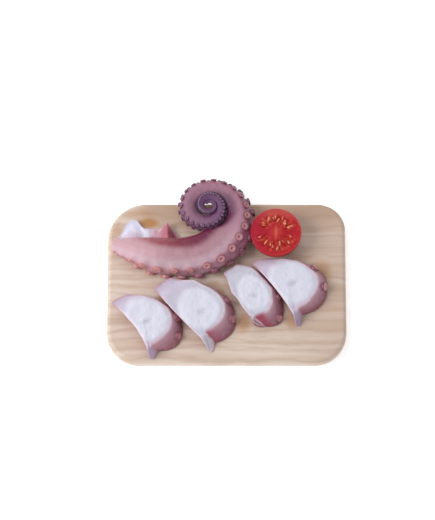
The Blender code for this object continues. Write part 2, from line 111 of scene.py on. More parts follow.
class Level:
    """A value, colour or place that varies over a piece."""

    def __init__(self, net, socket):
        self.net, self.socket = net, socket

    def __add__(self, other):
        return self.net.sums("ADD", self, other)

    def __sub__(self, other):
        return self.net.sums("SUBTRACT", self, other)

    def __mul__(self, other):
        return self.net.sums("MULTIPLY", self, other)

    def window(self, low, high, to_low=0.0, to_high=1.0):
        """A smooth step between two levels of this value."""
        return self.net.level("ShaderNodeMapRange", {"interpolation_type": "SMOOTHSTEP"},
                              Value=self, From_Min=low, From_Max=high,
                              To_Min=to_low, To_Max=to_high)

    def over(self, share, colour):
        """This colour with another laid over it, as strongly as share says."""
        return self.net.blend(share, self, colour)

    def ramp(self, *stops):
        """Colours at places along this value."""
        made = self.net.node("ShaderNodeValToRGB", Fac=self)
        band = made.color_ramp.elements
        while len(band) < len(stops):
            band.new(0.5)
        for element, (place, chip) in zip(band, stops):
            element.position = place
            element.color = paint(*chip)
        return Level(self.net, made.outputs["Color"])


class Net:
    """A tree of nodes and short ways to add to it."""

    def __init__(self, tree):
        self.tree = tree

    def feed(self, socket, value):
        value = getattr(value, "socket", value)
        if isinstance(value, bpy.types.NodeSocket):
            self.tree.links.new(value, socket)
        else:
            socket.default_value = value

    def node(self, kind, settings=(), inputs=(), **named):
        """A new node, its inputs given by number or by name."""
        made = self.tree.nodes.new(kind)
        for key, value in dict(settings).items():
            setattr(made, key, value)
        for key, value in dict(inputs).items():
            self.feed(made.inputs[key], value)
        for key, value in named.items():
            self.feed(made.inputs[key.replace("_", " ")], value)
        return made

    def level(self, kind, settings=(), inputs=(), out=0, **named):
        """One output of a new node."""
        return Level(self, self.node(kind, settings, inputs, **named).outputs[out])

    def sums(self, operation, *values):
        return self.level("ShaderNodeMath", {"operation": operation}, enumerate(values))

    def vectors(self, operation, *values, **named):
        out = "Value" if operation == "LENGTH" else "Vector"
        return self.level("ShaderNodeVectorMath", {"operation": operation}, enumerate(values),
                          out, **named)

    def blend(self, share, first, second):
        inputs = {0: share, 6: first, 7: second}
        for key, value in inputs.items():
            if isinstance(value, tuple) and len(value) == 3:
                inputs[key] = paint(*value)
        return self.level("ShaderNodeMix", {"data_type": "RGBA"}, inputs, 2)


class Finish(Net):
    """A material and short ways to make it vary over its piece."""

    def __init__(self, name, **shader):
        self.material = bpy.data.materials.new(name)
        self.material.use_nodes = True
        super().__init__(self.material.node_tree)
        self.shader = self.tree.nodes["Principled BSDF"]
        for socket, value in shader.items():
            self.shader.inputs[socket.replace("_", " ")].default_value = value

    def read(self, name):
        return self.level("ShaderNodeAttribute", {"attribute_name": name}, out="Fac")

    def stretched(self, where, scale, shift=(0.0, 0.0, 0.0)):
        return self.level("ShaderNodeMapping", Vector=where, Scale=scale, Location=shift)

    def place(self, scale=(1.0, 1.0, 1.0), shift=(0.0, 0.0, 0.0)):
        return self.stretched(self.level("ShaderNodeTexCoord", out="Object"), scale, shift)

    def split(self, where):
        made = self.node("ShaderNodeSeparateXYZ", Vector=where)
        return [Level(self, socket) for socket in made.outputs]

    def cloud(self, where, scale, detail=3.0, rough=0.5):
        return self.level("ShaderNodeTexNoise", out="Fac", Vector=where, Scale=scale,
                          Detail=detail, Roughness=rough)

    def dress(self, colour, rough=None, relief=None, strength=0.0, depth=0.0):
        """Feed the shader its varying colour, roughness and relief."""
        self.feed(self.shader.inputs["Base Color"], colour)
        if rough is not None:
            self.feed(self.shader.inputs["Roughness"], rough)
        if relief is not None:
            bump = self.level("ShaderNodeBump", Height=relief, Strength=strength, Distance=depth)
            self.feed(self.shader.inputs["Normal"], bump)


def plank_ring(inset, z):
    """Round-cornered outline of the board, set in from its sides."""
    arcs = []
    for quarter, (side_x, side_y) in enumerate(((1, 1), (-1, 1), (-1, -1), (1, -1))):
        radius = BOARD_CORNERS[quarter]
        heart_x = 0.5 * side_x * (board_high.x - board_low.x) - side_x * radius
        heart_y = 0.5 * side_y * (board_high.y - board_low.y) - side_y * radius
        turn = 0.5 * math.pi * (quarter + np.linspace(0.0, 1.0, BOARD_CORNER_STEPS + 1))
        arcs.append(np.stack([heart_x + (radius - inset) * np.cos(turn),
                              heart_y + (radius - inset) * np.sin(turn), z + 0.0 * turn], 1))
    points = []
    for arc, after in zip(arcs, arcs[1:] + arcs[:1]):
        points += [*arc, *np.linspace(arc[-1], after[0], BOARD_SIDE_STEPS + 1)[1:-1]]
    return points


wood = Finish("board_wood", Roughness=0.46, Coat_Weight=0.06, Coat_Roughness=0.35)
lie = wood.place()
east, north, height = wood.split(lie)
waver = wood.cloud(wood.place((5.0, 16.0, 5.0)), 1.0, 2.0)
flow = wood.level("ShaderNodeCombineXYZ", X=east, Y=north + (waver - 0.5) * 0.030, Z=height)
broad = wood.cloud(wood.stretched(flow, (2.2, 70.0, 9.0)), 1.0, 4.0, 0.55)
fine = wood.cloud(wood.stretched(flow, (3.0, 260.0, 20.0)), 1.0, 4.0, 0.6)
fibres = wood.cloud(wood.place((55.0, 1500.0, 200.0)), 1.0, 2.0)
years = wood.level("ShaderNodeTexWave", {"wave_type": "BANDS", "bands_direction": "Y"},
                   out="Fac", Vector=wood.stretched(flow, (0.35, 1.0, 1.0)), Scale=24.0,
                   Distortion=5.0, Detail=2.0, Detail_Scale=3.0)
tone = wood.blend(broad.window(0.34, 0.70), WOOD_PALE, WOOD_MIDDLE)
tone = tone.over(wood.sums("POWER", years, 3.0) * 0.30, WOOD_DARK)
tone = tone.over(fine.window(0.52, 0.78, 0.0, 0.42), WOOD_DARK)
tone = tone.over(fibres.window(0.60, 0.80, 0.0, 0.35), WOOD_FIBRE)
# Painted shade: the plank is darker along its back edge, in the shade of things beyond the board,
# and towards its right end, away from the main lamp.
drift = (wood.cloud(wood.place((4.0, 7.0, 4.0), (0.3, 0.1, 0.0)), 1.0, 2.0) - 0.5) * 0.03
back_shade = (north + drift).window(0.045, 0.085) * east.window(-0.115, -0.085) * 0.62
right_shade = (east + drift).window(0.05, 0.14, 0.0, 0.30)
tone = tone.over(wood.sums("MAXIMUM", back_shade, right_shade), WOOD_PAINTED_SHADE)
# Amber patches: juice stains, and painted warm shade in the gaps under and between the food.
for spot_x, spot_y, reach_x, reach_y, strength in STAINS_AND_SHADE:
    off = wood.vectors("SUBTRACT", lie, (spot_x * CM, spot_y * CM, 0.0))
    off = wood.vectors("MULTIPLY", off, (1.0 / (reach_x * CM), 1.0 / (reach_y * CM), 0.0))
    ragged = wood.vectors("LENGTH", off) + (broad - 0.5) * 0.8
    tone = tone.over(ragged.window(0.35, 1.15, strength, 0.0), WOOD_STAIN_AND_SHADE)
wood.dress(tone, fine.window(0.3, 0.8, 0.42, 0.60), fine + fibres * 0.6, 0.25, 0.0004)

FLAT_INSET = BOARD_EDGE + 0.03 * CM
plank = [plank_ring(FLAT_INSET, board_low.z)]
for turn in np.linspace(-0.5 * math.pi, 0.5 * math.pi, 2 * BOARD_EDGE_STEPS):
    rim = board_low.z + BOARD_EDGE if turn < 0.0 else board_high.z - BOARD_EDGE
    plank.append(plank_ring(BOARD_EDGE * (1.0 - math.cos(turn)), rim + BOARD_EDGE * math.sin(turn)))
plank.append(plank_ring(FLAT_INSET, board_high.z))
heart = 0.5 * (board_low + board_high)
board = skin_rings("cutting_board", plank, wood.material,
                   (heart.x, heart.y, board_low.z), (heart.x, heart.y, board_high.z))
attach(board, "root")
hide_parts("board")

# ------------------------------------------------------ body of curled arm
# A whole cooked arm, cut off at its thick end and lying on its side: a
# tapering rope that winds into a coil of more than two turns, its tip raised.
# The skin is pale rose at the thick end and turns mauve and purple inwards.
FOOD_FLOOR = board_high.z + 0.03 * CM
# Everything below is in centimetres along the middle line of the arm.
ARM_START = (-12.41, 4.26)
ARM_HEADING = -0.35
ARM_LENGTH = 44.64
ARM_TIP_LEFT_OFF = 3.2
ARM_LEAD_IN = 1.0
ARM_CURL = 6.955
CURL_FROM, CURL_FULL = 3.7, 15.2
STRAIGHT_BEND = 0.0325
SLACK, SLACK_AT = -0.85, 20.0
TIGHT, TIGHT_AT = 1.00, 26.0
LOCAL_SPREAD = 3.0
ARM_TAPER = 0.090
ARM_FLATNESS = 0.96
BACK_SWELL, BACK_SWELL_AT, BACK_SWELL_SPREAD = 1.62, 12.0, 4.8
COIL_SWELL, COIL_SWELL_FROM = 0.016, 16.0
COIL_RISE, RISE_FROM = 2.1, 21.0
INMOST_FROM, INMOST_REACH, INMOST_SHIFT = 31.0, 9.0, (0.24, 0.12)
CUT_END_SIZE, CUT_END_REACH = 0.34, 7.0
# Roll of the sucker side at places along the arm: it turns up on the bend.
ROLL_PLACES = (-1.0, 5.5, 9.0, 12.0, 14.7, 17.5, 20.0, 22.5, 25.0, 28.0, 31.0, 42.0)
ROLLS = (-0.36, -0.36, -0.14, 0.38, 0.78, 0.56, 0.28, 0.12, 0.14, 0.42, 0.58, 0.62)
LOWEST_SUCKER = -0.64
ARM_ROWS, ARM_SIDES, END_RINGS, PATH_STEPS = 620, 80, 5, 6000
ROW_ANGLE = 0.475
LAST_CUP, CUP_PITCH, TIP_PITCH_LESS = 40.9, 0.0440, 0.0130
MOUND_HEIGHT, MOUND_MORE, MOUND_REACH = 0.080, 0.05, 0.21
SUCKER_GROOVE, SKIN_WAVES, SKIN_FOLDS = 0.022, 0.0256, 0.008
# The flank bulges under the lower row, which stands out with it.
FLANK_BULGE, LOWER_BULGE, LOWER_OUT = 0.42, 0.20, 0.46


def ease(t):
    t = np.clip(t, 0.0, 1.0)
    return t * t * (3.0 - 2.0 * t)


def hump(x, middle, spread):
    return np.exp(-(((x - middle) / spread) ** 2))


def turned_off(turn, middle):
    """Angle from one turn to another, between minus and plus half a round."""
    return (turn - middle + math.pi) % (2.0 * math.pi) - math.pi


def band(x, low, rise, high, fall):
    """1 between low and high, with a soft rise inside the one and fall to the other."""
    return ease((x - low) / rise) * ease((high - x) / fall)


def run_up(steps):
    return np.concatenate([[0.0], np.cumsum(steps)])


def round_turns(count):
    return 2.0 * math.pi * np.arange(count) / count


def arm_bend(s):
    curl = ARM_CURL + SLACK * hump(s, SLACK_AT, LOCAL_SPREAD)
    curl = curl + TIGHT * hump(s, TIGHT_AT, LOCAL_SPREAD)
    curled = ease((s - CURL_FROM) / (CURL_FULL - CURL_FROM))
    return curled * curl / (ARM_LENGTH - s) + (1.0 - curled) * STRAIGHT_BEND


walked = np.linspace(0.0, ARM_LENGTH - ARM_TIP_LEFT_OFF, PATH_STEPS + 1)
pace = walked[1]
bends = arm_bend(walked)
walked_heading = ARM_HEADING + run_up(0.5 * pace * (bends[1:] + bends[:-1]))
halfway = 0.5 * (walked_heading[1:] + walked_heading[:-1])
walked_x = ARM_START[0] + run_up(pace * np.cos(halfway))
walked_y = ARM_START[1] + run_up(pace * np.sin(halfway))


def arm_width(s):
    part = np.clip((s + ARM_LEAD_IN) / CUT_END_REACH, 0.0, 1.0)
    cut_end = CUT_END_SIZE + (1.0 - CUT_END_SIZE) * np.sin(0.5 * math.pi * part)
    return ARM_TAPER * (ARM_LENGTH - s) * cut_end


def arm_place(s):
    """Middle, outward side and width of the arm at distances s."""
    s = np.asarray(s, float)
    heading = np.interp(s, walked, walked_heading)
    before = np.minimum(s, 0.0)
    inmost = ease((s - INMOST_FROM) / INMOST_REACH)
    x = np.interp(s, walked, walked_x) + before * np.cos(heading) + INMOST_SHIFT[0] * inmost
    y = np.interp(s, walked, walked_y) + before * np.sin(heading) + INMOST_SHIFT[1] * inmost
    width = arm_width(s)
    rise = COIL_RISE * ease((s - RISE_FROM) / (ARM_LENGTH - RISE_FROM - 2.0))
    middle = np.stack([x, y, 0.5 * ARM_FLATNESS * width + rise], -1)
    out = np.stack([np.sin(heading), -np.cos(heading), 0.0 * x], -1)
    return middle, out, width


def arm_roll(s):
    near = [np.interp(s + step, ROLL_PLACES, ROLLS) for step in (-1.0, -0.5, 0.0, 0.5, 1.0)]
    return sum(near) / 5.0


def sucker_angle(s, row):
    return np.maximum(arm_roll(s) + row * ROW_ANGLE, LOWEST_SUCKER)


def sucker_size(s):
    """Growth of a sucker against the plain share of the arm's width."""
    young = 0.55 + 0.33 * ease(s / 3.5) + 0.12 * ease((s - 6.0) / 5.0)
    return young * (1.0 + 0.22 * hump(s, 18.0, 6.0) + 0.10 * ease((s - 30.0) / 3.0))


def on_board(points):
    """Centimetres above the board to metres in the frame of the part."""
    return np.asarray(points) * CM + np.array([0.0, 0.0, FOOD_FLOOR])


def sucker_row(row):
    """Distances of the suckers of one row; the rows are half a pitch apart."""
    places = []
    s = -0.5
    while s < LAST_CUP:
        share = CUP_PITCH - TIP_PITCH_LESS * float(ease((s - 24.0) / 10.0))
        pitch = share * (ARM_LENGTH - s) * (0.5 + 0.5 * float(ease((s + 1.0) / 5.0)))
        places.append(s if row > 0 else s + 0.5 * pitch)
        s += pitch
    return np.array(places)


def on_thick_part(s):
    return band(s, 1.0, 3.0, 12.5, 5.0)


def lower_bulge(s):
    return LOWER_BULGE * hump(s, 14.0, 4.0)


UP = np.array([0.0, 0.0, 1.0])
span = ARM_LENGTH + ARM_LEAD_IN
left_over = ARM_TIP_LEFT_OFF / span
share = np.linspace(0.0, 1.0, ARM_ROWS)
left = span * (0.5 * (1.0 - share * (1.0 - left_over)) + 0.5 * left_over ** share)
arm_s = ARM_LENGTH - left
arm_turn = round_turns(ARM_SIDES)
middle, out, width = arm_place(arm_s)
S, TURN = np.meshgrid(arm_s, arm_turn, indexing="ij")
WIDTH = width[:, None]
back = BACK_SWELL * hump(S, BACK_SWELL_AT, BACK_SWELL_SPREAD)
packed = 1.0 + 1.3 * ease((S - 26.0) / 4.0) * (1.0 - 0.8 * ease((S - 35.5) / 3.0))
back = back + COIL_SWELL * (ARM_LENGTH - S) * packed * ease((S - COIL_SWELL_FROM) / 5.0)
reach = 0.5 * WIDTH + np.maximum(-np.cos(TURN), 0.0) * back
off_row = turned_off(TURN, arm_roll(S))
relief = -SUCKER_GROOVE * WIDTH * hump(off_row, 0.0, 0.24)
relief += FLANK_BULGE * hump(turned_off(TURN, -0.55), 0.0, 0.50) * on_thick_part(S)
relief += lower_bulge(S) * hump(turned_off(TURN, sucker_angle(S, -1)), 0.0, 0.40)
near_sucker = np.zeros_like(S)
for row in (1, -1):
    for s in sucker_row(row):
        size = float(arm_width(s))
        close = np.abs(arm_s - s) < 3.0 * MOUND_REACH * size
        along = (S[close] - s) / (MOUND_REACH * size)
        across = 0.5 * turned_off(TURN[close], float(sucker_angle(s, row))) / MOUND_REACH
        mound = np.exp(-(along ** 2) - across ** 2)
        tall = MOUND_HEIGHT + MOUND_MORE * float(ease((14.0 - s) / 6.0))
        relief[close] += tall * size * mound
        near_sucker[close] = np.maximum(near_sucker[close], mound)
# Slow unevenness of the flesh, and shallow folds across the skin of the coil.
for i, s in enumerate(arm_s):
    for j, turn in enumerate(arm_turn):
        wave = noise.noise((0.75 * s, 1.3 * math.cos(turn), 1.3 * math.sin(turn)))
        fold = noise.noise((2.6 * s, 2.6 * math.cos(turn), 2.6 * math.sin(turn) + 7.0))
        relief[i, j] += width[i] * (SKIN_WAVES * wave + SKIN_FOLDS * fold)
side = (reach + relief) * np.cos(TURN)
tall = (0.5 * WIDTH * ARM_FLATNESS + relief) * np.sin(TURN)
flesh = middle[:, None, :] + side[..., None] * out[:, None, :] + tall[..., None] * UP
flesh[..., 2] = np.maximum(flesh[..., 2], 0.0)


def rounded_over(ring, inside, depth):
    """The rings that round an end over, from the given one out, and its point."""
    middle = ring.mean(0)
    way = (middle - inside.mean(0)) / np.linalg.norm(middle - inside.mean(0))
    rings = []
    for turn in np.linspace(0.0, 0.5 * math.pi, END_RINGS + 2)[1:-1]:
        rings.append(middle + math.cos(turn) * (ring - middle) + depth * math.sin(turn) * way)
    return rings, middle + depth * way


end_rings, cut_end = rounded_over(flesh[0], flesh[1], 0.10 * width[0])
tip_rings, tip = rounded_over(flesh[-1], flesh[-2], 0.5 * width[-1])
whole = np.array([*end_rings[::-1], *flesh, *tip_rings])
whole[..., 2] = np.maximum(whole[..., 2], 0.0)
cut_end[2] = max(cut_end[2], 0.0)

# Colours of the arm from the thick end to the tip: sucker side, flank, back. The back colours are
# partly the dark skin of the back and partly painted shade, in the crease along the back and in the
# valley beside each inner turn of the coil.
ALONG_ORAL = ((0.00, (196, 142, 148)), (0.21, (212, 168, 184)), (0.30, (160, 96, 124)),
              (0.45, (140, 84, 108)), (0.64, (122, 78, 106)), (0.74, (74, 44, 78)))
ALONG_FLANK = ((0.00, (196, 154, 162)), (0.12, (184, 140, 148)), (0.24, (174, 128, 138)),
               (0.36, (162, 114, 132)), (0.50, (158, 108, 126)), (0.62, (152, 108, 130)),
               (0.72, (108, 58, 102)), (0.95, (84, 44, 84)))
ALONG_BACK_AND_SHADE = ((0.00, (178, 116, 122)), (0.10, (150, 60, 72)), (0.17, (120, 14, 52)),
              (0.28, (98, 10, 60)), (0.45, (90, 40, 74)), (0.65, (84, 44, 78)),
              (0.95, (60, 38, 66)))


def new_tree(name, kind, inputs, outputs):
    """A tree with named sockets; its net, the sockets of its way in and its way out."""
    net = Net(bpy.data.node_groups.new(name, kind))
    for in_out, sockets in (("INPUT", inputs), ("OUTPUT", outputs)):
        for title, sort in sockets:
            net.tree.interface.new_socket(title, in_out=in_out, socket_type="NodeSocket" + sort)
    come = net.tree.nodes.new("NodeGroupInput").outputs
    return net, come, net.tree.nodes.new("NodeGroupOutput").inputs


def mottling_group():
    """Shared skin effect: cloudy blotches, fine specks and stretch lines."""
    net, come, leave = new_tree(
        "skin_mottling", "ShaderNodeTree",
        (("Where", "Vector"), ("Blotch Size", "Float"), ("Speck Size", "Float")),
        (("Blotches", "Float"), ("Specks", "Float"), ("Relief", "Float")))
    blotches = net.level("ShaderNodeTexNoise", out="Fac", Vector=come["Where"], Detail=4.0,
                         Scale=come["Blotch Size"], Roughness=0.6, Distortion=0.6)
    specks = net.level("ShaderNodeTexNoise", out="Fac", Vector=come["Where"], Detail=2.0,
                       Scale=come["Speck Size"])
    grain = net.level("ShaderNodeTexVoronoi", out="Distance", Vector=come["Where"],
                      Scale=come["Speck Size"])
    net.feed(leave["Blotches"], blotches)
    net.feed(leave["Specks"], specks)
    net.feed(leave["Relief"], net.sums("MULTIPLY_ADD", grain, 0.5, blotches))
    return net.tree


MOTTLING = mottling_group()


def mottled(finish, blotch_size, speck_size):
    """Blotches, specks and relief of a finish."""
    made = finish.node("ShaderNodeGroup", {"node_tree": MOTTLING}, Where=finish.place(),
                       Blotch_Size=blotch_size, Speck_Size=speck_size)
    return [Level(finish, socket) for socket in made.outputs]


skin = Finish("arm_skin", Roughness=0.46, Coat_Weight=0.12, Coat_Roughness=0.28,
              Subsurface_Weight=0.12, Subsurface_Scale=0.004,
              Subsurface_Radius=(1.0, 0.35, 0.25))
far_along = skin.read("along")
blotches, specks, relief_value = mottled(skin, 230.0, 1500.0)
wander = (blotches - 0.5) * 0.20
around = skin.read("around") + wander
dusky = skin.read("dusky") + wander
tone = skin.blend(around.window(0.10, 0.30), far_along.ramp(*ALONG_ORAL),
                  far_along.ramp(*ALONG_FLANK))
# Painted shade together with the dark skin of the back: the back colours spread over the flank
# where the next turn of the coil shades it.
tone = tone.over(dusky.window(0.05, 0.95), far_along.ramp(*ALONG_BACK_AND_SHADE))
blush = far_along.ramp((0.00, (184, 106, 104)), (0.20, (180, 100, 104)),
                       (0.38, (140, 72, 90)), (0.50, (158, 82, 104)), (0.66, (104, 62, 90)),
                       (0.76, (66, 36, 64)))
tone = tone.over(skin.read("near_sucker").window(0.05, 0.8, 0.0, 0.72), blush)
light_side = around.window(0.12, 0.24) * around.window(0.30, 0.50, 1.0, 0.0)
tone = tone.over(light_side * far_along.window(0.22, 0.40, 0.55, 0.0), (208, 182, 194))
pale = blotches.window(0.50, 0.74, 0.0, 0.24) * dusky.window(0.0, 0.6, 1.0, 0.15)
tone = tone.over(pale, far_along.ramp((0.0, (214, 180, 190)), (0.5, (186, 144, 162)),
                                      (0.8, (130, 98, 124))))
tone = tone.over(specks.window(0.56, 0.74, 0.0, 0.26), (116, 62, 82))
skin.dress(tone, specks.window(0.3, 0.7, 0.38, 0.52), relief_value, 0.50, 0.0008)

arm = skin_rings("arm_body", on_board(whole), skin.material, on_board(cut_end), on_board(tip))
around_value = np.abs(off_row) / math.pi
# Where the back colours begin, as a share of the way round from the suckers; lower on the bend of
# the arm, where they stand for painted shade beside the inner turn of the coil.
dark_from = np.interp(S, (0.0, 4.0, 14.0, 17.5, 20.0, 23.0, 27.0, 31.0, 34.0, 42.0),
                      (0.66, 0.54, 0.48, 0.22, 0.22, 0.42, 0.82, 0.80, 0.46, 0.40))
dark_over = 0.30 + 0.16 * ease((S - 14.0) / 3.0)
back_and_shade_value = ease((around_value - dark_from) / dark_over) * ease((S + 1.0) / 5.0)
for name, values, at_end, at_tip in (
    ("along", np.clip(S / ARM_LENGTH, 0.0, 1.0), 0.0, 1.0),
    ("around", around_value, 0.5, 0.5),
    ("near_sucker", near_sucker, 0.0, 0.0),
    ("dusky", back_and_shade_value, 0.2, 0.8),
):
    mark(arm, name, np.pad(values, ((END_RINGS, END_RINGS), (0, 0)), "edge"), at_end, at_tip)
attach(arm, "root")
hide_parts("curled_arm")

# ------------------------------------------------------- suckers of the arm
# Two staggered rows of cups on short stalks, largest on the thick part of
# the arm: a dark lip, a broad pale ring and a small hole in the middle.
SUCKER_RADIUS = 0.168
SUCKER_FOOT, SUCKER_TOP = 0.44, 0.65
SUCKER_SIDES = 18
LOWER_LARGER, LOWER_SHADE = 0.30, 0.14
# Outline of one sucker from its foot to its hole: radius, height and zone,
# where zone 2 is the foot of the stalk, 1 the outer lip and 0 the hole.
SUCKER_OUTLINE = ((0.98, 0.05, 2.00), (0.86, 0.40, 1.60), (0.88, 0.62, 1.35),
                  (0.98, 0.74, 1.20), (1.02, 0.84, 1.08), (0.97, 0.92, 1.00),
                  (0.87, 0.93, 0.93), (0.80, 0.93, 0.85), (0.70, 1.00, 0.74),
                  (0.56, 1.01, 0.60), (0.40, 0.96, 0.45), (0.27, 0.87, 0.30),
                  (0.20, 0.76, 0.18), (0.14, 0.68, 0.08), (0.07, 0.66, 0.00))


def sucker_mould(material):
    """One sucker of unit radius and height, standing on +Z."""
    rings, zones = [], []
    for radius, tall, zone in SUCKER_OUTLINE:
        rings.append([(radius * math.cos(t), radius * math.sin(t), tall)
                      for t in round_turns(SUCKER_SIDES)])
        zones.append([zone] * SUCKER_SIDES)
    foot, hole = SUCKER_OUTLINE[0][1], SUCKER_OUTLINE[-1][1] - 0.02
    mould = skin_rings("sucker_mould", rings, material, (0.0, 0.0, foot), (0.0, 0.0, hole))
    mark(mould, "zone", zones, 2.0, 0.0)
    return mould


def planting_tree():
    """Geometry nodes that stand a sucker on each marked point."""
    net, come, leave = new_tree(
        "plant_suckers", "GeometryNodeTree",
        (("Geometry", "Geometry"), ("Sucker", "Object"), ("Skin", "Material"),
         ("Lean", "Float"), ("Size Spread", "Float"), ("Seed", "Int")),
        (("Geometry", "Geometry"),))
    vector = {"data_type": "FLOAT_VECTOR"}
    facing = net.level("GeometryNodeInputNamedAttribute", vector, Name="facing")
    size = net.level("GeometryNodeInputNamedAttribute", vector, Name="size")
    stand = net.level("FunctionNodeAlignRotationToVector", {"axis": "Z"}, Vector=facing)
    spread = net.level("ShaderNodeCombineXYZ", X=come["Lean"], Y=come["Lean"], Z=3.0)
    lean = net.level("FunctionNodeRandomValue", vector,
                     {0: net.vectors("SCALE", spread, Scale=-1.0), 1: spread}, Seed=come["Seed"])
    tipped = net.level("FunctionNodeRotateRotation", {"rotation_space": "LOCAL"},
                       Rotation=stand, Rotate_By=lean)
    least, most = (net.sums(way, 1.0, come["Size Spread"]) for way in ("SUBTRACT", "ADD"))
    grow = net.level("FunctionNodeRandomValue", {"data_type": "FLOAT"}, {2: least, 3: most}, 1,
                     Seed=come["Seed"])
    mould = net.level("GeometryNodeObjectInfo", out="Geometry", Object=come["Sucker"])
    planted = net.level("GeometryNodeInstanceOnPoints", Points=come["Geometry"], Instance=mould,
                        Rotation=tipped, Scale=net.vectors("SCALE", size, Scale=grow))
    covered(net, planted, come["Skin"], leave)
    return net.tree


def covered(net, instances, material, leave):
    """The end of a tree: instances made real and given their material."""
    solid = net.level("GeometryNodeRealizeInstances", inputs={0: instances})
    net.feed(leave[0], net.level("GeometryNodeSetMaterial", Geometry=solid, Material=material))


PLANTING = planting_tree()


def grown(piece, tree, inputs):
    """Run a geometry nodes tree on a piece and keep the result as its mesh."""
    step = piece.modifiers.new(tree.name, "NODES")
    step.node_group = tree
    for item in tree.interface.items_tree:
        if item.item_type == "SOCKET" and item.name in inputs:
            step[item.identifier] = inputs[item.name]
    view = bpy.context.evaluated_depsgraph_get()
    made = bpy.data.meshes.new_from_object(piece.evaluated_get(view))
    piece.modifiers.clear()
    piece.data = made
    made.shade_smooth()
    return piece


def plant_suckers(name, feet, facing, sizes, tones, finish, spread, seed):
    """Suckers at the given feet as one piece; sizes are radius and height."""
    mesh = bpy.data.meshes.new(name + "_feet")
    mesh.from_pydata([tuple(foot) for foot in feet], [], [])
    rows = placed(name, mesh)
    triples = [(radius, radius, tall) for radius, tall in sizes]
    for title, values in (("facing", facing), ("size", triples)):
        layer = mesh.attributes.new(title, "FLOAT_VECTOR", "POINT")
        layer.data.foreach_set("vector", np.asarray(values, np.float32).ravel())
    mark(rows, "along", tones)
    mould = sucker_mould(finish.material)
    grown(rows, PLANTING, {"Sucker": mould, "Skin": finish.material, "Lean": 0.10,
                           "Size Spread": spread, "Seed": seed})
    bpy.data.objects.remove(mould)
    return rows


DISC_ALONG = ((0.00, (206, 142, 136)), (0.16, (206, 144, 140)), (0.26, (194, 134, 140)),
              (0.45, (158, 100, 114)), (0.56, (124, 80, 106)), (0.66, (118, 80, 112)),
              (0.75, (138, 104, 140)))
LIP_ALONG = ((0.00, (198, 130, 126)), (0.16, (190, 118, 118)), (0.26, (134, 70, 86)),
             (0.45, (100, 46, 64)), (0.58, (84, 44, 68)), (0.75, (54, 30, 58)))


def sucker_finish(name, disc, lip, stalk):
    made = Finish(name, Roughness=0.34, Coat_Weight=0.35, Coat_Roughness=0.14,
                  Subsurface_Weight=0.10, Subsurface_Scale=0.003,
                  Subsurface_Radius=(1.0, 0.35, 0.25))
    far_along = made.read("along")
    zone = made.read("zone")
    blotches, specks, relief = mottled(made, 320.0, 1800.0)
    pale = far_along.ramp(*disc)
    dark = far_along.ramp(*lip)
    tone = made.blend(zone.window(0.12, 0.42), dark.over(0.82, pale), pale)
    tone = tone.over(zone.window(0.80, 0.97), dark)
    tone = tone.over(zone.window(1.15, 1.60), far_along.ramp(*stalk))
    tone = tone.over(blotches.window(0.45, 0.75, 0.0, 0.25), (196, 120, 132))
    made.dress(tone, specks.window(0.3, 0.7, 0.26, 0.42), relief, 0.25, 0.0004)
    return made


sucker_skin = sucker_finish("arm_sucker_skin", DISC_ALONG, LIP_ALONG, ALONG_ORAL)
feet, ways, sizes, tones = [], [], [], []
for row in (1, -1):
    lower = float(row < 0)
    places = sucker_row(row)
    for s, middle, out, width, angle, young in zip(places, *arm_place(places),
                                                   sucker_angle(places, row),
                                                   sucker_size(places)):
        axis = math.cos(angle) * out + math.sin(angle) * UP
        outward = lower * float(LOWER_OUT * on_thick_part(s) + lower_bulge(s))
        feet.append(on_board(middle + (SUCKER_FOOT * width + outward) * axis))
        ways.append(axis)
        tall = (SUCKER_TOP - SUCKER_FOOT) * width * CM
        young *= 1.0 + LOWER_LARGER * lower * float(ease((14.0 - s) / 4.0))
        sizes.append((SUCKER_RADIUS * young * width * CM, tall))
        shade = LOWER_SHADE * lower * float(band(s, 7.0, 4.0, 24.0, 4.0))
        tones.append(min(max(s / ARM_LENGTH, 0.0) + shade, 1.0))
suckers = plant_suckers("arm_suckers", feet, ways, sizes, tones, sucker_skin, 0.07, 4)
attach(suckers, "root")
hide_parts("curled_arm")

# ------------------------------------------------------- web of the arm
# What is left of the web between two arms: a thick sheet that slopes from
# the arm to the board, cut white on its left part and curled up in two points,
# with the rose skin showing on the fold to the right.
WEB_LEFT, WEB_RIGHT = -13.30, -5.30
WEB_SPAN_LEFT, WEB_SPAN_RIGHT = -13.35, -5.75
WEB_BACK, WEB_SWELL = 5.2, 1.42
WEB_POINTS = ((-11.15, 1.30, 1.05, 3.2), (-7.0, 1.32, 0.62, 1.1), (-5.9, 0.35, 0.6, 2.0))
WEB_COLUMNS, WEB_TOP_STEPS, WEB_ROUND_STEPS = 150, 40, 8
WEB_THICK, WEB_SAG = 0.36, 0.30
FIN_LIFT, HORN_LIFT = 0.85, 0.30


def web_edge(x):
    part = (x - WEB_SPAN_LEFT + 0.15) / (WEB_SPAN_RIGHT - WEB_SPAN_LEFT + 0.4)
    edge = WEB_BACK + WEB_SWELL * np.sin(math.pi * np.clip(part, 0.0, 1.0))
    for middle, reach, spread, power in WEB_POINTS:
        edge = edge + reach * np.exp(-((np.abs(x - middle) / spread) ** power))
    return edge


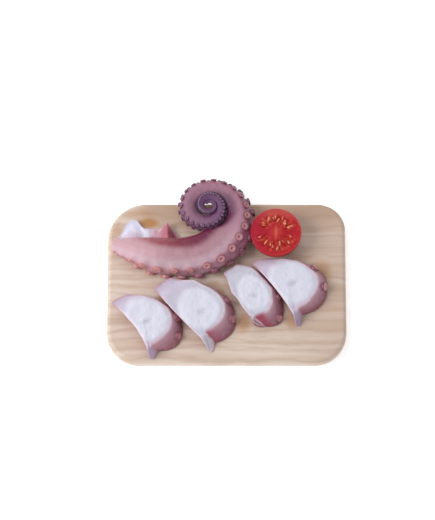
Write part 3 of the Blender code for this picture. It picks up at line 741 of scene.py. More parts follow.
web_rings, web_across, web_along, web_under = [], [], [], []
for x in np.linspace(WEB_LEFT, WEB_RIGHT, WEB_COLUMNS):
    s = (x - ARM_START[0]) / math.cos(0.5 * ARM_HEADING)
    middle, _, width = arm_place(s)
    root = middle[1] + 0.10 * width
    edge = max(float(web_edge(x)), root + 0.35)
    fin = float(hump(x, WEB_POINTS[1][0], 0.62))
    horn = float(hump(x, WEB_POINTS[0][0], 1.1))
    root_top = min(1.72, 0.76 * width)
    edge_top = WEB_THICK + FIN_LIFT * fin + HORN_LIFT * horn
    ring, across, under = [], [], []
    for v in np.linspace(0.0, 1.0, WEB_TOP_STEPS):
        y = root + v * (edge - 0.5 * WEB_THICK - root)
        sag = WEB_SAG * math.sin(math.pi * v) * (1.0 - 0.6 * fin)
        z = root_top + (edge_top - root_top) * float(ease(v)) - sag * (0.4 + 0.6 * v)
        z += 0.10 * noise.noise((0.9 * x, 0.9 * y, 3.0))
        z += 0.035 * noise.noise((3.1 * x, 3.1 * y, 9.0))
        ring.append((x, y, max(z, WEB_THICK * 0.8)))
        across.append(v)
        under.append(0.0)
    _, rim_y, rim_z = ring[-1]
    half = 0.5 * WEB_THICK
    for step in range(1, WEB_ROUND_STEPS):
        turn = math.pi * step / WEB_ROUND_STEPS
        ring.append((x, rim_y + half * math.sin(turn), rim_z - half * (1.0 - math.cos(turn))))
        across.append(1.0)
        under.append(step / WEB_ROUND_STEPS)
    for v in np.linspace(1.0, 0.0, WEB_TOP_STEPS):
        z = v * (rim_z - WEB_THICK) + (1.0 - v) * 0.3
        ring.append((x, root + v * (rim_y - root), max(z, 0.0)))
        across.append(v)
        under.append(1.0)
    web_rings.append(ring[::-1])
    web_across.append(across[::-1])
    web_along.append([(x - WEB_LEFT) / (WEB_RIGHT - WEB_LEFT)] * len(ring))
    web_under.append(under[::-1])
web_rings = np.array(web_rings)

web_skin = Finish("web_flesh", Roughness=0.38, Coat_Weight=0.25, Coat_Roughness=0.2,
                  Subsurface_Weight=0.25, Subsurface_Scale=0.006,
                  Subsurface_Radius=(1.0, 0.6, 0.6))
across = web_skin.read("across")
blotches, _, relief_value = mottled(web_skin, 180.0, 1200.0)
shifted = web_skin.read("along") + (blotches - 0.5) * 0.10
cut = shifted.ramp((0.00, (204, 196, 216)), (0.22, (214, 212, 230)),
                   (0.46, (234, 228, 244)), (0.60, (196, 158, 174)),
                   (0.74, (184, 114, 126)), (0.80, (172, 90, 104)), (1.00, (168, 88, 110)))
root_tint = shifted.ramp((0.00, (206, 190, 210)), (0.36, (206, 184, 202)),
                         (0.52, (196, 148, 164)), (0.68, (180, 104, 118)),
                         (0.86, (216, 126, 142)), (1.00, (196, 104, 128)))
tone = root_tint.over((across + (blotches - 0.5) * 0.16).window(0.40, 0.72), cut)
tone = tone.over(across.window(0.93, 1.0, 0.0, 0.35), (196, 176, 200))
tone = tone.over(web_skin.read("under").window(0.2, 0.8, 0.0, 0.8), (186, 140, 152))
web_skin.dress(tone, None, relief_value, 0.25, 0.0006)
web = skin_rings("arm_web", on_board(web_rings), web_skin.material,
                 on_board(web_rings[0].mean(0)), on_board(web_rings[-1].mean(0)))
mark(web, "across", web_across, 0.0, 1.0)
mark(web, "along", web_along, 0.0, 1.0)
mark(web, "under", web_under, 1.0, 1.0)
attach(web, "root")
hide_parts("curled_arm")

# ------------------------------------------------------------- thick slices
# Four slices cut across a thicker arm, lying on their cut side: a glossy
# white face with a round core and a thin wing of web at each end, and a rose
# wall of skin that carries a few suckers.
SLICE_HEIGHT, SLICE_EDGE, SLICE_BULGE = 1.8, 0.13, 0.14
SLICE_LEAN = np.array([1.47, -0.50])
WING_DROP, TAIL_DROP = 0.45, 1.55
OUTLINE_STEPS, WALL_STEPS, EDGE_STEPS, FACE_STEPS = 220, 18, 5, 26
FACE_SOFTENING, FOOT_SOFTENING = 4, 32
CORE_LIFT, CORE_GROOVE, INNER_GROOVE, NERVE_SINK, CLEFT_SINK = 0.13, 0.09, 0.018, 0.12, 0.07
CUP_HEIGHT, CUP_TILT, CUP_SINK, CUP_TONE = 0.36, 0.60, 0.08, 0.3


class Slice:
    """Sizes of one slice on its own axes, and what its face and wall show."""

    def __init__(self, **sizes):
        self.__dict__.update(sizes)


# A core is its place and reach as shares of length and belly.  A notch is a
# share of the way round, a push and a reach; a cup is a share of the way
# round, a height and a radius.  red says how strongly the red skin shows
# beside the tail, and lilac how thin the wing and the tail look.
SLICES = {
    "slice_1": Slice(
        corner=(-13.60, -3.05), heading=-0.92, length=7.10, belly=4.40, skew=1.70,
        square=0.30, sag=-0.45, blunt=0.75, root=0.50, tail=1.30, turn=-0.75, hook=0.80,
        foot_length=0.90, foot_wider=0.45, foot_end=1.15,
        core=(0.60, 0.46, 0.40, 0.56), red=0.20, lilac=0.80, tail_lilac=1.00,
        notches=((0.06, 0.10, 0.02), (0.20, 0.10, 0.05), (0.44, -0.10, 0.03), (0.84, 0.08, 0.03)),
        cups=((0.325, 0.58, 0.62), (0.405, 0.40, 0.44)),
    ),
    "slice_2": Slice(
        corner=(-8.62, -1.30), heading=-0.84, length=8.30, belly=4.50, skew=1.72,
        square=0.30, sag=0.15, blunt=1.15, root=0.85, tail=1.85, turn=-0.17, hook=-0.10,
        foot_length=0.97, foot_wider=0.50, foot_end=0.80,
        core=(0.68, 0.52, 0.33, 0.52), red=1.00, lilac=0.60, tail_lilac=0.10,
        notches=((0.05, 0.12, 0.02), (0.10, -0.16, 0.03), (0.155, 0.16, 0.02),
                 (0.36, 0.10, 0.04), (0.44, -0.08, 0.02)),
        cups=((0.30, 0.58, 0.50), (0.375, 0.46, 0.54)),
    ),
    "slice_3": Slice(
        corner=(-0.45, 0.77), heading=-1.05, length=6.80, belly=3.38, skew=1.42,
        square=0.28, sag=0.40, blunt=1.20, root=0.40, tail=0.50, turn=-0.25, hook=-0.10,
        foot_length=0.99, foot_wider=0.15, foot_end=0.80,
        core=(0.62, 0.54, 0.36, 0.52), red=1.00, lilac=0.05, tail_lilac=0.10,
        notches=((0.03, 0.14, 0.02), (0.22, -0.10, 0.04), (0.30, 0.10, 0.02),
                 (0.74, -0.10, 0.03), (0.80, 0.10, 0.02), (0.88, -0.08, 0.02)),
        cups=((0.33, 0.55, 0.42), (0.43, 0.34, 0.44)),
    ),
    "slice_4": Slice(
        corner=(2.88, 1.85), heading=-0.92, length=7.80, belly=4.55, skew=1.70,
        square=0.36, sag=-0.20, blunt=0.55, root=0.75, tail=1.70, turn=-0.38, hook=-0.10,
        foot_length=0.89, foot_wider=0.65, foot_end=0.80,
        core=(0.60, 0.50, 0.38, 0.56), red=0.35, lilac=0.95, tail_lilac=0.90,
        notches=((0.09, -0.12, 0.03), (0.20, 0.08, 0.03), (0.26, -0.08, 0.02),
                 (0.34, 0.08, 0.03), (0.42, -0.10, 0.02)),
        cups=((0.265, 0.62, 0.54), (0.36, 0.52, 0.52)),
    ),
}


def slice_outline(size, foot):
    """Outline of a slice on its own axes: belly, tail of web, flat back."""
    length, belly, skew, end = size.length, size.belly, size.skew, 0.15
    sag, blunt, root, tail = size.sag, size.blunt, size.root, size.tail
    if foot:
        length, belly = length * size.foot_length, belly + size.foot_wider
        end, skew, sag, blunt = size.foot_end, 0.94 * skew, sag - 0.35, 0.80 * blunt
        root, tail = 0.45 * root, 0.25 * tail
    t = 0.5 - 0.5 * np.cos(math.pi * np.linspace(0.0, 1.0, 401))
    swell = np.maximum(np.sin(math.pi * t ** skew), 0.0) ** size.square
    v = belly * swell + blunt * (1.0 - t) ** 3 + root * t
    bulge = np.sin(math.pi * np.clip(v / (belly + root), 0.0, 1.0))
    u = length * t + end * ease((t - 0.60) / 0.35) * bulge
    belly_side = np.stack([u, v, t], 1)
    t = np.linspace(0.0, 1.0, 41)
    turn = size.turn + size.hook * t
    step = tail / 40 * np.stack([np.cos(turn), np.sin(turn), 0.0 * t], 1)
    middle = np.array([length, 0.5 * root, -1.0]) + np.cumsum(step, 0) - step[0]
    half = 0.5 * (root * (1.0 - t) ** 0.8 + 0.16 * t)
    side = half[:, None] * np.stack([-np.sin(turn), np.cos(turn), 0.0 * t], 1)
    t = np.linspace(1.0, 0.0, 201)[1:-1]
    back = np.stack([length * t, -sag * np.sin(math.pi * t), 0.0 * t - 1.0], 1)
    return np.concatenate([belly_side, middle + side, (middle - side)[::-1], back])


def slice_rims(size):
    """Matching outlines of face and foot, and each point's share of the belly."""
    face, foot = slice_outline(size, False), slice_outline(size, True)
    gaps = np.linalg.norm(np.diff(np.vstack([face, face[:1]])[:, :2], axis=0), axis=1)
    total = run_up(gaps)
    places = np.linspace(0.0, total[-1], OUTLINE_STEPS, endpoint=False)
    softened = []
    for outline, passes in ((face, FACE_SOFTENING), (foot, FOOT_SOFTENING)):
        closed = np.vstack([outline, outline[:1]])
        points = np.stack([np.interp(places, total, closed[:, i]) for i in (0, 1)], 1)
        for _ in range(passes):
            points = 0.5 * points + 0.25 * (np.roll(points, 1, 0) + np.roll(points, -1, 0))
        softened.append(points)
    return (*softened, np.interp(places, total, np.append(face[:, 2], 0.0)))


def face_drop(size, u):
    """How far the face lies below its middle at a distance along the slice."""
    drop = WING_DROP * (1.0 - ease(u / (0.25 * size.length)))
    return drop + TAIL_DROP * ease((u - size.length - 0.1) / (0.9 * size.tail))


def on_slice(size, u, v):
    cos, sin = math.cos(size.heading), math.sin(size.heading)
    corner = size.corner
    return np.stack([corner[0] + cos * u - sin * v, corner[1] + sin * u + cos * v], -1)


def pushed(ring, amount):
    """Move each point of a plan ring outwards by the given amounts."""
    edge = np.roll(ring, -1, 0) - np.roll(ring, 1, 0)
    outward = np.stack([-edge[:, 1], edge[:, 0], 0.0 * edge[:, 0]], 1)
    outward /= np.maximum(np.linalg.norm(outward, axis=1), 1e-9)[:, None]
    return ring + np.asarray(amount)[..., None] * outward


def slice_level(size, part, inset=0.0):
    """Ring of a slice at a share of its height, 0 at the foot, 1 at the face."""
    face, foot, _ = slice_rims(size)
    plan = foot + part * (face - foot)
    spots = on_slice(size, plan[:, 0], plan[:, 1]) + (1.0 - part) * SLICE_LEAN
    tall = part * (SLICE_HEIGHT - face_drop(size, face[:, 0]))
    ring = np.concatenate([spots, tall[:, None]], 1)
    push = np.full(len(ring), SLICE_BULGE * math.sin(math.pi * part) - inset)
    round_share = np.arange(len(ring)) / len(ring)
    for place, amount, reach in size.notches:
        push += part * amount * hump(round_share, place, reach)
    return pushed(ring, push)


slice_skin = Finish("slice_flesh", Roughness=0.46, Coat_Weight=0.08, Coat_Roughness=0.30,
                    Subsurface_Weight=0.18, Subsurface_Scale=0.006,
                    Subsurface_Radius=(1.0, 0.7, 0.7))
on_face, core, wing, nerve, tall, end_wall, tail, lilac = (
    slice_skin.read(name)
    for name in ("face", "core", "wing", "nerve", "tall", "end_wall", "tail", "lilac"))
blotches, specks, relief_value = mottled(slice_skin, 170.0, 1300.0)
lean_off = blotches - 0.5
white = slice_skin.blend(lilac, (193, 191, 203), (196, 184, 204))
white = white.over(core.window(0.20, 0.62), (214, 213, 226))
white = white.over(blotches.window(0.46, 0.80, 0.0, 0.25), (204, 204, 214))
white = white.over(nerve * specks.window(0.44, 0.62) * 0.70, (150, 146, 146))
white = white.over((wing + lean_off * 0.5).window(0.10, 0.95) * lilac, (184, 164, 184))
white = white.over(tail * lilac, (184, 166, 188))
wall = tall.ramp((0.00, (138, 66, 80)), (0.30, (148, 92, 106)), (0.60, (166, 116, 130)),
                 (0.84, (184, 138, 150)), (0.92, (200, 164, 176)), (0.98, (218, 198, 210)))
wall = wall.over(blotches.window(0.48, 0.70, 0.0, 0.40), (190, 146, 160))
wall = wall.over(specks.window(0.55, 0.74, 0.0, 0.30), (110, 56, 76))
wall = wall.over(end_wall * 0.90, tall.ramp((0.0, (150, 66, 88)), (0.9, (156, 44, 72))))
wall = wall.over(tail * 0.85, slice_skin.blend(lilac, (214, 200, 212), (176, 150, 176)))
slice_skin.dress(wall.over((on_face + lean_off * 0.18).window(0.40, 0.92), white),
                 on_face.window(0.3, 0.9, 0.42, 0.52), relief_value, 0.20, 0.0006)
cup_skin = sucker_finish("slice_sucker_skin", ((0.00, (198, 142, 146)), (1.00, (170, 110, 120))),
                         ((0.00, (136, 70, 82)), (1.00, (96, 44, 60))),
                         ((0.00, (150, 98, 112)), (1.00, (150, 98, 112))))

for number, (name, size) in enumerate(SLICES.items()):
    length, belly = size.length, size.belly
    core_u, core_v, core_long, core_wide = size.core
    _, _, where = slice_rims(size)
    count = len(where)
    soft = SLICE_EDGE / SLICE_HEIGHT
    rings, face_share = [slice_level(size, 0.0, SLICE_EDGE)], [0.0]
    for part in np.linspace(soft, 1.0 - soft, WALL_STEPS):
        rings.append(slice_level(size, part))
        face_share.append(0.0)
    for turn in np.linspace(0.0, 0.5 * math.pi, EDGE_STEPS + 1)[1:]:
        part = 1.0 - soft * (1.0 - math.sin(turn))
        rings.append(slice_level(size, part, SLICE_EDGE * (1.0 - math.cos(turn))))
        face_share.append(0.25 + 0.35 * math.sin(turn))
    top = rings[-1]
    heart = np.array([*on_slice(size, 0.56 * length, 0.42 * belly), SLICE_HEIGHT])
    for step in range(1, FACE_STEPS):
        q = step / FACE_STEPS
        rings.append(top + q * (heart - top))
        face_share.append(0.6 + 0.4 * min(q / 0.12, 1.0))
    rings = np.array(rings)
    flat = rings.reshape(-1, 3)
    face_value = np.repeat(face_share, count)
    cos, sin = math.cos(size.heading), math.sin(size.heading)
    way = np.array([[cos, sin], [-sin, cos]])
    u, v = way @ (flat[:, :2] - np.array(size.corner)).T
    inner = face_value > 0.6
    flat[inner, 2] = SLICE_HEIGHT - face_drop(size, u[inner])
    # The core swells a little out of the face, inside a soft oval edge.
    wander = np.array([noise.noise((0.9 * x, 0.9 * y, 2.0 + number)) for x, y, _ in flat])
    oval = np.hypot((u / length - core_u) / core_long, (v / belly - core_v) / core_wide)
    oval = oval + 0.10 * wander
    core_value = np.clip(1.6 - 1.2 * oval, 0.0, 1.0)
    nerve_oval = np.hypot((u / length - core_u - 0.06) / 0.050, (v / belly - core_v) / 0.10)
    nerve_value = np.exp(-((nerve_oval + 0.5 * wander) ** 2))
    cleft = hump(u / length - core_u - 0.25 * (v / belly - core_v), 0.06, 0.022)
    cleft = cleft * hump(v / belly, core_v, 0.20)
    lift = CORE_LIFT * ease(core_value / 0.5) - NERVE_SINK * nerve_value - CLEFT_SINK * cleft
    lift -= CORE_GROOVE * hump(oval, 1.05, 0.15)
    lift -= INNER_GROOVE * hump(oval, 0.62, 0.09)
    lift[~inner] = 0.0
    for i in np.nonzero(face_value > 0.0)[0]:
        x, y, _ = flat[i]
        lift[i] += 0.09 * noise.noise((0.8 * x, 0.8 * y, 5.0 + 3.0 * number))
        lift[i] += 0.035 * noise.noise((2.7 * x, 2.7 * y, 9.0 + 3.0 * number))
    flat[:, 2] += lift * np.clip(face_value, 0.0, 1.0)
    for i in np.nonzero(face_value <= 0.0)[0]:
        x, y, z = flat[i]
        push = 0.07 * noise.noise((1.1 * x, 1.1 * y, 1.1 * z + 4.0 * number))
        push += 0.025 * noise.noise((3.4 * x, 3.4 * y, 3.4 * z + 4.0 * number))
        flat[i, :2] += push * way[1]
    flat[:, 2] = np.maximum(flat[:, 2], 0.0)
    rings = flat.reshape(rings.shape)
    foot = np.append(rings[0].mean(0)[:2], 0.0)
    crown = heart + np.array([0.0, 0.0, lift[-count:].mean()])
    piece = skin_rings(name + "_flesh", on_board(rings[:, ::-1]), slice_skin.material,
                       on_board(foot), on_board(crown))

    rim_u, rim_v = (np.tile(x.reshape(-1, count)[-FACE_STEPS], len(face_share)) for x in (u, v))
    tail_value = ease((np.where(inner, u, rim_u) - length + 0.1) / 0.7)
    lilac_value = np.maximum(size.lilac * ease((0.55 - u / length) / 0.35),
                             size.tail_lilac * ease((u / length - 0.86) / 0.12))
    # The red skin of the inner side shows on the wall next to the tail.
    belly_share = np.tile(where, len(face_share))
    from_tail = np.hypot(rim_u - length, rim_v)
    red_value = size.red * ease((2.5 - from_tail) / 1.7) * (belly_share > 0.5)
    if name == "slice_3":
        # Its tail is cut off short, so the red skin runs on round the corner.
        end_value = ease((u / length - 0.93) / 0.04) * ease((2.0 - v) / 0.9) * ~inner
        red_value = np.maximum(red_value * ease((1.9 - from_tail) / 0.9), end_value)
        tail_value = ease((0.36 - from_tail) / 0.16)
    for mark_name, values, at_foot, at_crown in (
        ("face", face_value, 0.0, 1.0),
        ("core", core_value, 0.0, 1.0),
        ("nerve", nerve_value, 0.0, 0.0),
        ("wing", ease((0.24 - u / length) / 0.22), 0.0, 0.0),
        ("tail", tail_value, 0.0, 0.0),
        ("lilac", lilac_value, 0.0, 0.0),
        ("tall", flat[:, 2] / SLICE_HEIGHT, 0.0, 1.0),
        ("end_wall", red_value, 0.0, 0.0),
    ):
        mark(piece, mark_name, values.reshape(-1, count)[:, ::-1], at_foot, at_crown)
    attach(piece, "root")
    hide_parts(name)

    feet, ways, sizes, tones = [], [], [], []
    for share, part, radius in size.cups:
        ring = slice_level(size, part)
        i = round(share * count)
        edge = ring[i + 1] - ring[i - 1]
        axis = np.array([-edge[1], edge[0], 0.0])
        axis /= np.linalg.norm(axis)
        axis[2] = CUP_TILT
        axis /= np.linalg.norm(axis)
        feet.append(on_board(ring[i] - CUP_SINK * axis))
        ways.append(axis)
        sizes.append((radius * CM, CUP_HEIGHT * CM))
        tones.append(CUP_TONE)
    cups = plant_suckers(name + "_suckers", feet, ways, sizes, tones, cup_skin, 0.05,
                         20 + number)
    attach(cups, "root")
    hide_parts(name)

# -------------------------------------------------------------- half tomato
# A ripe salad tomato cut across, cut face up: a smooth red skin, a wall of
# flesh, two hollows full of jelly and seeds, and a paler core.
tomato_low, tomato_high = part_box("tomato_half")
TOMATO_RADIUS = 0.25 * (tomato_high.x - tomato_low.x + tomato_high.y - tomato_low.y)
TOMATO_X = 0.5 * (tomato_low.x + tomato_high.x)
TOMATO_Y = 0.5 * (tomato_low.y + tomato_high.y)
TOMATO_TOP = tomato_high.z
TOMATO_SIDES, TOMATO_WALL_STEPS, TOMATO_LIP_STEPS, TOMATO_FACE_STEPS = 144, 30, 5, 54
TOMATO_LIP, HOLLOW_DEPTH, FACE_WAVES = 0.12 * CM, 0.09 * CM, 0.05 * CM
# Direction and strength of the thin walls of flesh that part each hollow.
RIBS = ((58.0, 0.35), (104.0, 0.45), (-52.0, 0.4), (-84.0, 0.3), (-118.0, 0.45))


def hollow(x, y):
    """How deep in a seed hollow a point of the unit face is, 0 to 1."""
    far = np.hypot(x, y)
    turn = np.degrees(np.arctan2(y, x))
    upper = band(far, 0.30, 0.18, 0.80, 0.16) * band(turn, 8.0, 12.0, 168.0, 12.0)
    lower = band(far, 0.26, 0.18, 0.84, 0.16) * band(-turn, 14.0, 12.0, 172.0, 12.0)
    ribs = 1.0
    for rib, strength in RIBS:
        ribs = ribs * (1.0 - strength * hump(turn, rib, 6.0) * ease((far - 0.2) / 0.3))
    return np.maximum(upper, lower) * ribs


depth = tomato_high.z - tomato_low.z
outline = []
for turn in np.linspace(0.0, 0.5 * math.pi, TOMATO_WALL_STEPS + 1)[1:]:
    outline.append((TOMATO_RADIUS * math.sin(turn),
                    tomato_low.z + (depth - TOMATO_LIP) * (1.0 - math.cos(turn))))
for turn in np.linspace(0.0, 0.5 * math.pi, TOMATO_LIP_STEPS + 1)[1:]:
    outline.append((TOMATO_RADIUS - TOMATO_LIP * (1.0 - math.cos(turn)),
                    TOMATO_TOP - TOMATO_LIP * (1.0 - math.sin(turn))))
for part in np.linspace(1.0, 0.0, TOMATO_FACE_STEPS)[1:-1]:
    outline.append(((TOMATO_RADIUS - TOMATO_LIP) * part, TOMATO_TOP))
radii, levels = np.repeat(np.array(outline), TOMATO_SIDES, 0).reshape(-1, TOMATO_SIDES, 2).T
turns = round_turns(TOMATO_SIDES)[:, None]
far_value = radii / TOMATO_RADIUS
unit_x, unit_y = far_value * np.cos(turns), far_value * np.sin(turns)
cut_value = np.clip((np.arange(len(outline)) - TOMATO_WALL_STEPS + 1) / 6.0, 0.0, 1.0)
cut_value = np.repeat(cut_value, TOMATO_SIDES).reshape(-1, TOMATO_SIDES)
on_cut = np.arange(len(outline)) >= TOMATO_WALL_STEPS + TOMATO_LIP_STEPS
hollow_value = hollow(unit_x, unit_y) * on_cut
waves = [[noise.noise((4.0 * x, 4.0 * y, 2.0)) - 1.0 for x, y in zip(*row)]
         for row in zip(unit_x, unit_y)]
levels = levels - HOLLOW_DEPTH * hollow_value + FACE_WAVES * np.array(waves) * on_cut
tomato_rings = np.stack([TOMATO_X + radii * np.cos(turns), TOMATO_Y + radii * np.sin(turns),
                         levels], -1).transpose(1, 0, 2)

tomato_skin = Finish("tomato_flesh", Roughness=0.34, Specular_IOR_Level=0.22,
                     Coat_Weight=0.04, Coat_Roughness=0.10, Subsurface_Weight=0.08,
                     Subsurface_Scale=0.003, Subsurface_Radius=(1.0, 0.2, 0.1))
jelly = tomato_skin.read("hollow")
far = tomato_skin.read("far")
blotches, _, relief_value = mottled(tomato_skin, 260.0, 900.0)
east, north, _ = tomato_skin.split(tomato_skin.place())
tone = far.ramp((0.00, (186, 66, 56)), (0.12, (182, 44, 48)), (0.30, (166, 18, 34)),
                (0.60, (166, 16, 32)), (0.88, (172, 22, 32)), (0.965, (178, 34, 40)),
                (1.00, (214, 112, 102)))
tone = tone.over(blotches.window(0.42, 0.72, 0.0, 0.5), (194, 54, 48))
tone = tone.over(north.window(TOMATO_Y + 0.35 * TOMATO_RADIUS, TOMATO_Y + 0.95 * TOMATO_RADIUS,
                              0.0, 0.8), (190, 80, 74))
tone = tone.over(east.window(TOMATO_X - 0.9 * TOMATO_RADIUS, TOMATO_X + 0.1 * TOMATO_RADIUS,
                             0.55, 0.0), (166, 18, 56))
forward, sideways = north - TOMATO_Y, east - TOMATO_X
core_line = tomato_skin.sums("ABSOLUTE", sideways).window(0.0, 0.30 * CM, 0.7, 0.0)
tone = tone.over(core_line * far.window(0.12, 0.34, 1.0, 0.0), (206, 100, 72))
jelly_tone = tomato_skin.blend(blotches.window(0.40, 0.66), (150, 8, 16), (182, 44, 30))
tone = tone.over(jelly.window(0.15, 0.75), jelly_tone)
# Fine threads of paler flesh run from the core out through the hollows.
fan = tomato_skin.level("ShaderNodeCombineXYZ", Y=far * 0.35,
                        X=tomato_skin.sums("ARCTAN2", forward, sideways))
threads = tomato_skin.cloud(fan, 5.5, 3.0, 0.65).window(0.50, 0.66, 0.0, 0.60)
threads = threads * far.window(0.74, 0.88, 1.0, 0.0) * far.window(0.10, 0.30)
off_middle = tomato_skin.sums("ABSOLUTE", forward).window(0.12 * TOMATO_RADIUS,
                                                          0.30 * TOMATO_RADIUS)
tone = tone.over(threads * off_middle, (206, 92, 70))
tone = tomato_skin.blend(tomato_skin.read("cut").window(0.3, 0.8), (172, 16, 26), tone)
tomato_skin.dress(tone, jelly.window(0.2, 0.8, 0.36, 0.26), relief_value, 0.2, 0.0005)
tomato = skin_rings("tomato_half_flesh", tomato_rings, tomato_skin.material,
                    (TOMATO_X, TOMATO_Y, tomato_low.z),
                    (TOMATO_X, TOMATO_Y, TOMATO_TOP - 0.05 * CM))
mark(tomato, "cut", cut_value, 0.0, 1.0)
mark(tomato, "hollow", hollow_value.T, 0.0, 0.0)
mark(tomato, "far", far_value.T, 0.0, 0.0)
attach(tomato, "root")
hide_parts("tomato_half")

# ------------------------------------------------------- seeds of the tomato
# Flat pale-orange seeds that lie in the jelly of both hollows, points inward.
SEED_LENGTH, SEED_WIDTH, SEED_THICK = 0.54 * CM, 0.30 * CM, 0.12 * CM
SEED_RINGS, SEED_SIDES, SEED_SINK = 7, 12, 0.03 * CM


def seed_mould(material):
    """One seed, pointed at its -X end, lying flat."""
    rings = []
    for turn in np.linspace(0.0, math.pi, SEED_RINGS + 2)[1:-1]:
        along = -0.5 * math.cos(turn)
        wide = 0.5 * math.sin(turn) ** 0.9 * (0.72 + 0.5 * along)
        rings.append([(SEED_LENGTH * along, SEED_WIDTH * wide * math.cos(t),
                       SEED_THICK * wide * math.sin(t)) for t in round_turns(SEED_SIDES)])
    return skin_rings("seed_mould", rings, material,
                      (-0.5 * SEED_LENGTH, 0.0, 0.0), (0.5 * SEED_LENGTH, 0.0, 0.0))


def seeding_tree():
    """Geometry nodes that strew seeds along an arc, points to the middle."""
    net, come, leave = new_tree(
        "strew_seeds", "GeometryNodeTree",
        (("Geometry", "Geometry"), ("Seed Shape", "Object"), ("Seed Skin", "Material"),
         ("Arc Radius", "Float"), ("Arc Start", "Float"), ("Arc Sweep", "Float"),
         ("Stray", "Float"), ("Height", "Float"), ("Count", "Int"), ("Seed", "Int")),
        (("Geometry", "Geometry"),))
    vector = {"data_type": "FLOAT_VECTOR"}
    arc = net.level("GeometryNodeCurveArc", {"mode": "RADIUS"}, out="Curve", Resolution=64,
                    Radius=come["Arc Radius"], Start_Angle=come["Arc Start"],
                    Sweep_Angle=come["Arc Sweep"])
    spots = net.level("GeometryNodeCurveToPoints", {"mode": "COUNT"}, out="Points", Curve=arc,
                      Count=come["Count"])
    facing = net.level("FunctionNodeAlignRotationToVector", {"axis": "X"},
                       Vector=net.level("GeometryNodeInputPosition"))
    spin = net.level("FunctionNodeRandomValue", vector,
                     {0: (-0.45, -0.25, -0.45), 1: (0.45, 0.25, 0.45)}, Seed=come["Seed"])
    turned = net.level("FunctionNodeRotateRotation", {"rotation_space": "LOCAL"},
                       Rotation=facing, Rotate_By=spin)
    size = net.level("FunctionNodeRandomValue", {"data_type": "FLOAT"}, {2: 0.75, 3: 1.25}, 1,
                     Seed=come["Seed"])
    shape = net.level("GeometryNodeObjectInfo", out="Geometry", Object=come["Seed Shape"])
    strewn = net.level("GeometryNodeInstanceOnPoints", Points=spots, Instance=shape,
                       Rotation=turned, Scale=size)
    reach = net.level("ShaderNodeCombineXYZ", X=come["Stray"], Y=come["Stray"])
    stray = net.level("FunctionNodeRandomValue", vector,
                      {0: net.vectors("SCALE", reach, Scale=-1.0), 1: reach}, Seed=come["Seed"])
    lift = net.level("ShaderNodeCombineXYZ", Z=come["Height"])
    moved = net.level("GeometryNodeTranslateInstances", inputs={0: strewn}, Local_Space=False,
                      Translation=net.vectors("ADD", stray, lift))
    covered(net, moved, come["Seed Skin"], leave)
    return net.tree


seed_skin = Finish("tomato_seed", Roughness=0.30, Coat_Weight=0.2, Coat_Roughness=0.12,
                   Subsurface_Weight=0.2, Subsurface_Scale=0.002)
haze = seed_skin.cloud(seed_skin.place(), 420.0, 2.0)
seed_skin.dress(haze.ramp((0.30, (192, 66, 58)), (0.50, (211, 106, 82)), (0.68, (222, 152, 112))),
                haze.window(0.3, 0.7, 0.20, 0.34))
SEEDING = seeding_tree()
mould = seed_mould(seed_skin.material)
for name, arc_radius, start, sweep, count, stray, seed in (
    ("upper_seeds", 0.56, 16.0, 138.0, 12, 0.08, 5),
    ("lower_seeds", 0.60, 206.0, 128.0, 10, 0.10, 8),
):
    seeds = placed("tomato_" + name, bpy.data.meshes.new(name))
    grown(seeds, SEEDING, {
        "Seed Shape": mould, "Seed Skin": seed_skin.material,
        "Arc Radius": arc_radius * TOMATO_RADIUS, "Arc Start": math.radians(start),
        "Arc Sweep": math.radians(sweep), "Count": count, "Stray": stray * TOMATO_RADIUS,
        "Height": -SEED_SINK, "Seed": seed,
    })
    for vert in seeds.data.vertices:
        vert.co += Vector((TOMATO_X, TOMATO_Y, TOMATO_TOP))
    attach(seeds, "root")
    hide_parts("tomato_half")
bpy.data.objects.remove(mould)

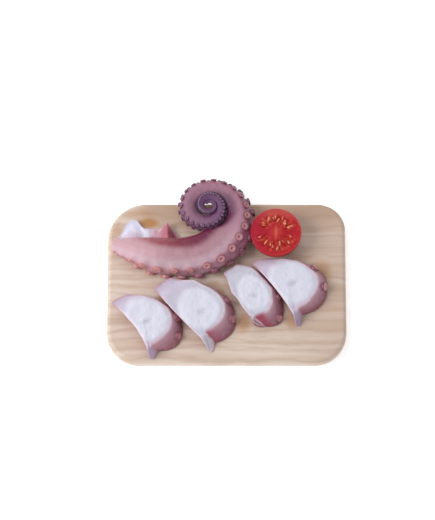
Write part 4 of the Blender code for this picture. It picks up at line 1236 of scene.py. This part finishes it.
# ------------------------------------------------- floor, lights and camera
# A white table under broad soft lamps: the main one high at the left, a weak
# one at the back, and the camera high in front, far off with a long lens.
scene = bpy.context.scene
scene.view_settings.view_transform = "Standard"
scene.view_settings.look = "None"
half_side = 4.0
corners = [(-half_side, -half_side, 0.0), (half_side, -half_side, 0.0),
           (half_side, half_side, 0.0), (-half_side, half_side, 0.0)]
floor_mesh = bpy.data.meshes.new("table_top")
floor_mesh.from_pydata(corners, [], [(0, 1, 2, 3)])
floor = placed("table_top", floor_mesh)
paper = Finish("white_table", Roughness=0.9, Emission_Color=(1.0, 1.0, 1.0, 1.0),
               Emission_Strength=0.42)
paper.dress(paper.blend(paper.cloud(paper.place(), 3.0), (0.93, 0.93, 0.93, 1.0),
                        (0.96, 0.96, 0.96, 1.0)))
floor_mesh.materials.append(paper.material)

world = bpy.data.worlds.new("studio")
scene.world = world
world.use_nodes = True
sky = world.node_tree.nodes["Background"].inputs
sky["Color"].default_value = (0.95, 0.97, 1.0, 1.0)
sky["Strength"].default_value = 0.62


def lamp(name, place, size, power, tint):
    """A round soft lamp that points at the origin."""
    light = bpy.data.lights.new(name, "AREA")
    light.shape = "DISK"
    light.size = size
    light.energy = power
    light.color = tint
    holder = placed(name, light)
    holder.location = place
    holder.rotation_euler = Vector(place).to_track_quat("Z", "Y").to_euler()


lamp("main_lamp", (-1.7, -0.3, 1.8), 1.5, 36.0, (1.0, 0.99, 0.98))
lamp("back_lamp", (-0.6, 1.8, 1.6), 1.4, 8.0, (1.0, 1.0, 1.0))

CAMERA_AIM = (-0.0107, 0.0282, 0.015)
CAMERA_FAR = 4.0
CAMERA_RISE = math.radians(69.08)
camera_data = bpy.data.cameras.new("camera")
camera_data.sensor_width = 36.0
camera_data.lens = 235.4
camera_data.clip_end = 50.0
camera = placed("camera", camera_data)
camera.location = (CAMERA_AIM[0], CAMERA_AIM[1] - CAMERA_FAR * math.cos(CAMERA_RISE),
                   CAMERA_AIM[2] + CAMERA_FAR * math.sin(CAMERA_RISE))
camera.rotation_euler = (0.5 * math.pi - CAMERA_RISE, 0.0, 0.0)
scene.camera = camera
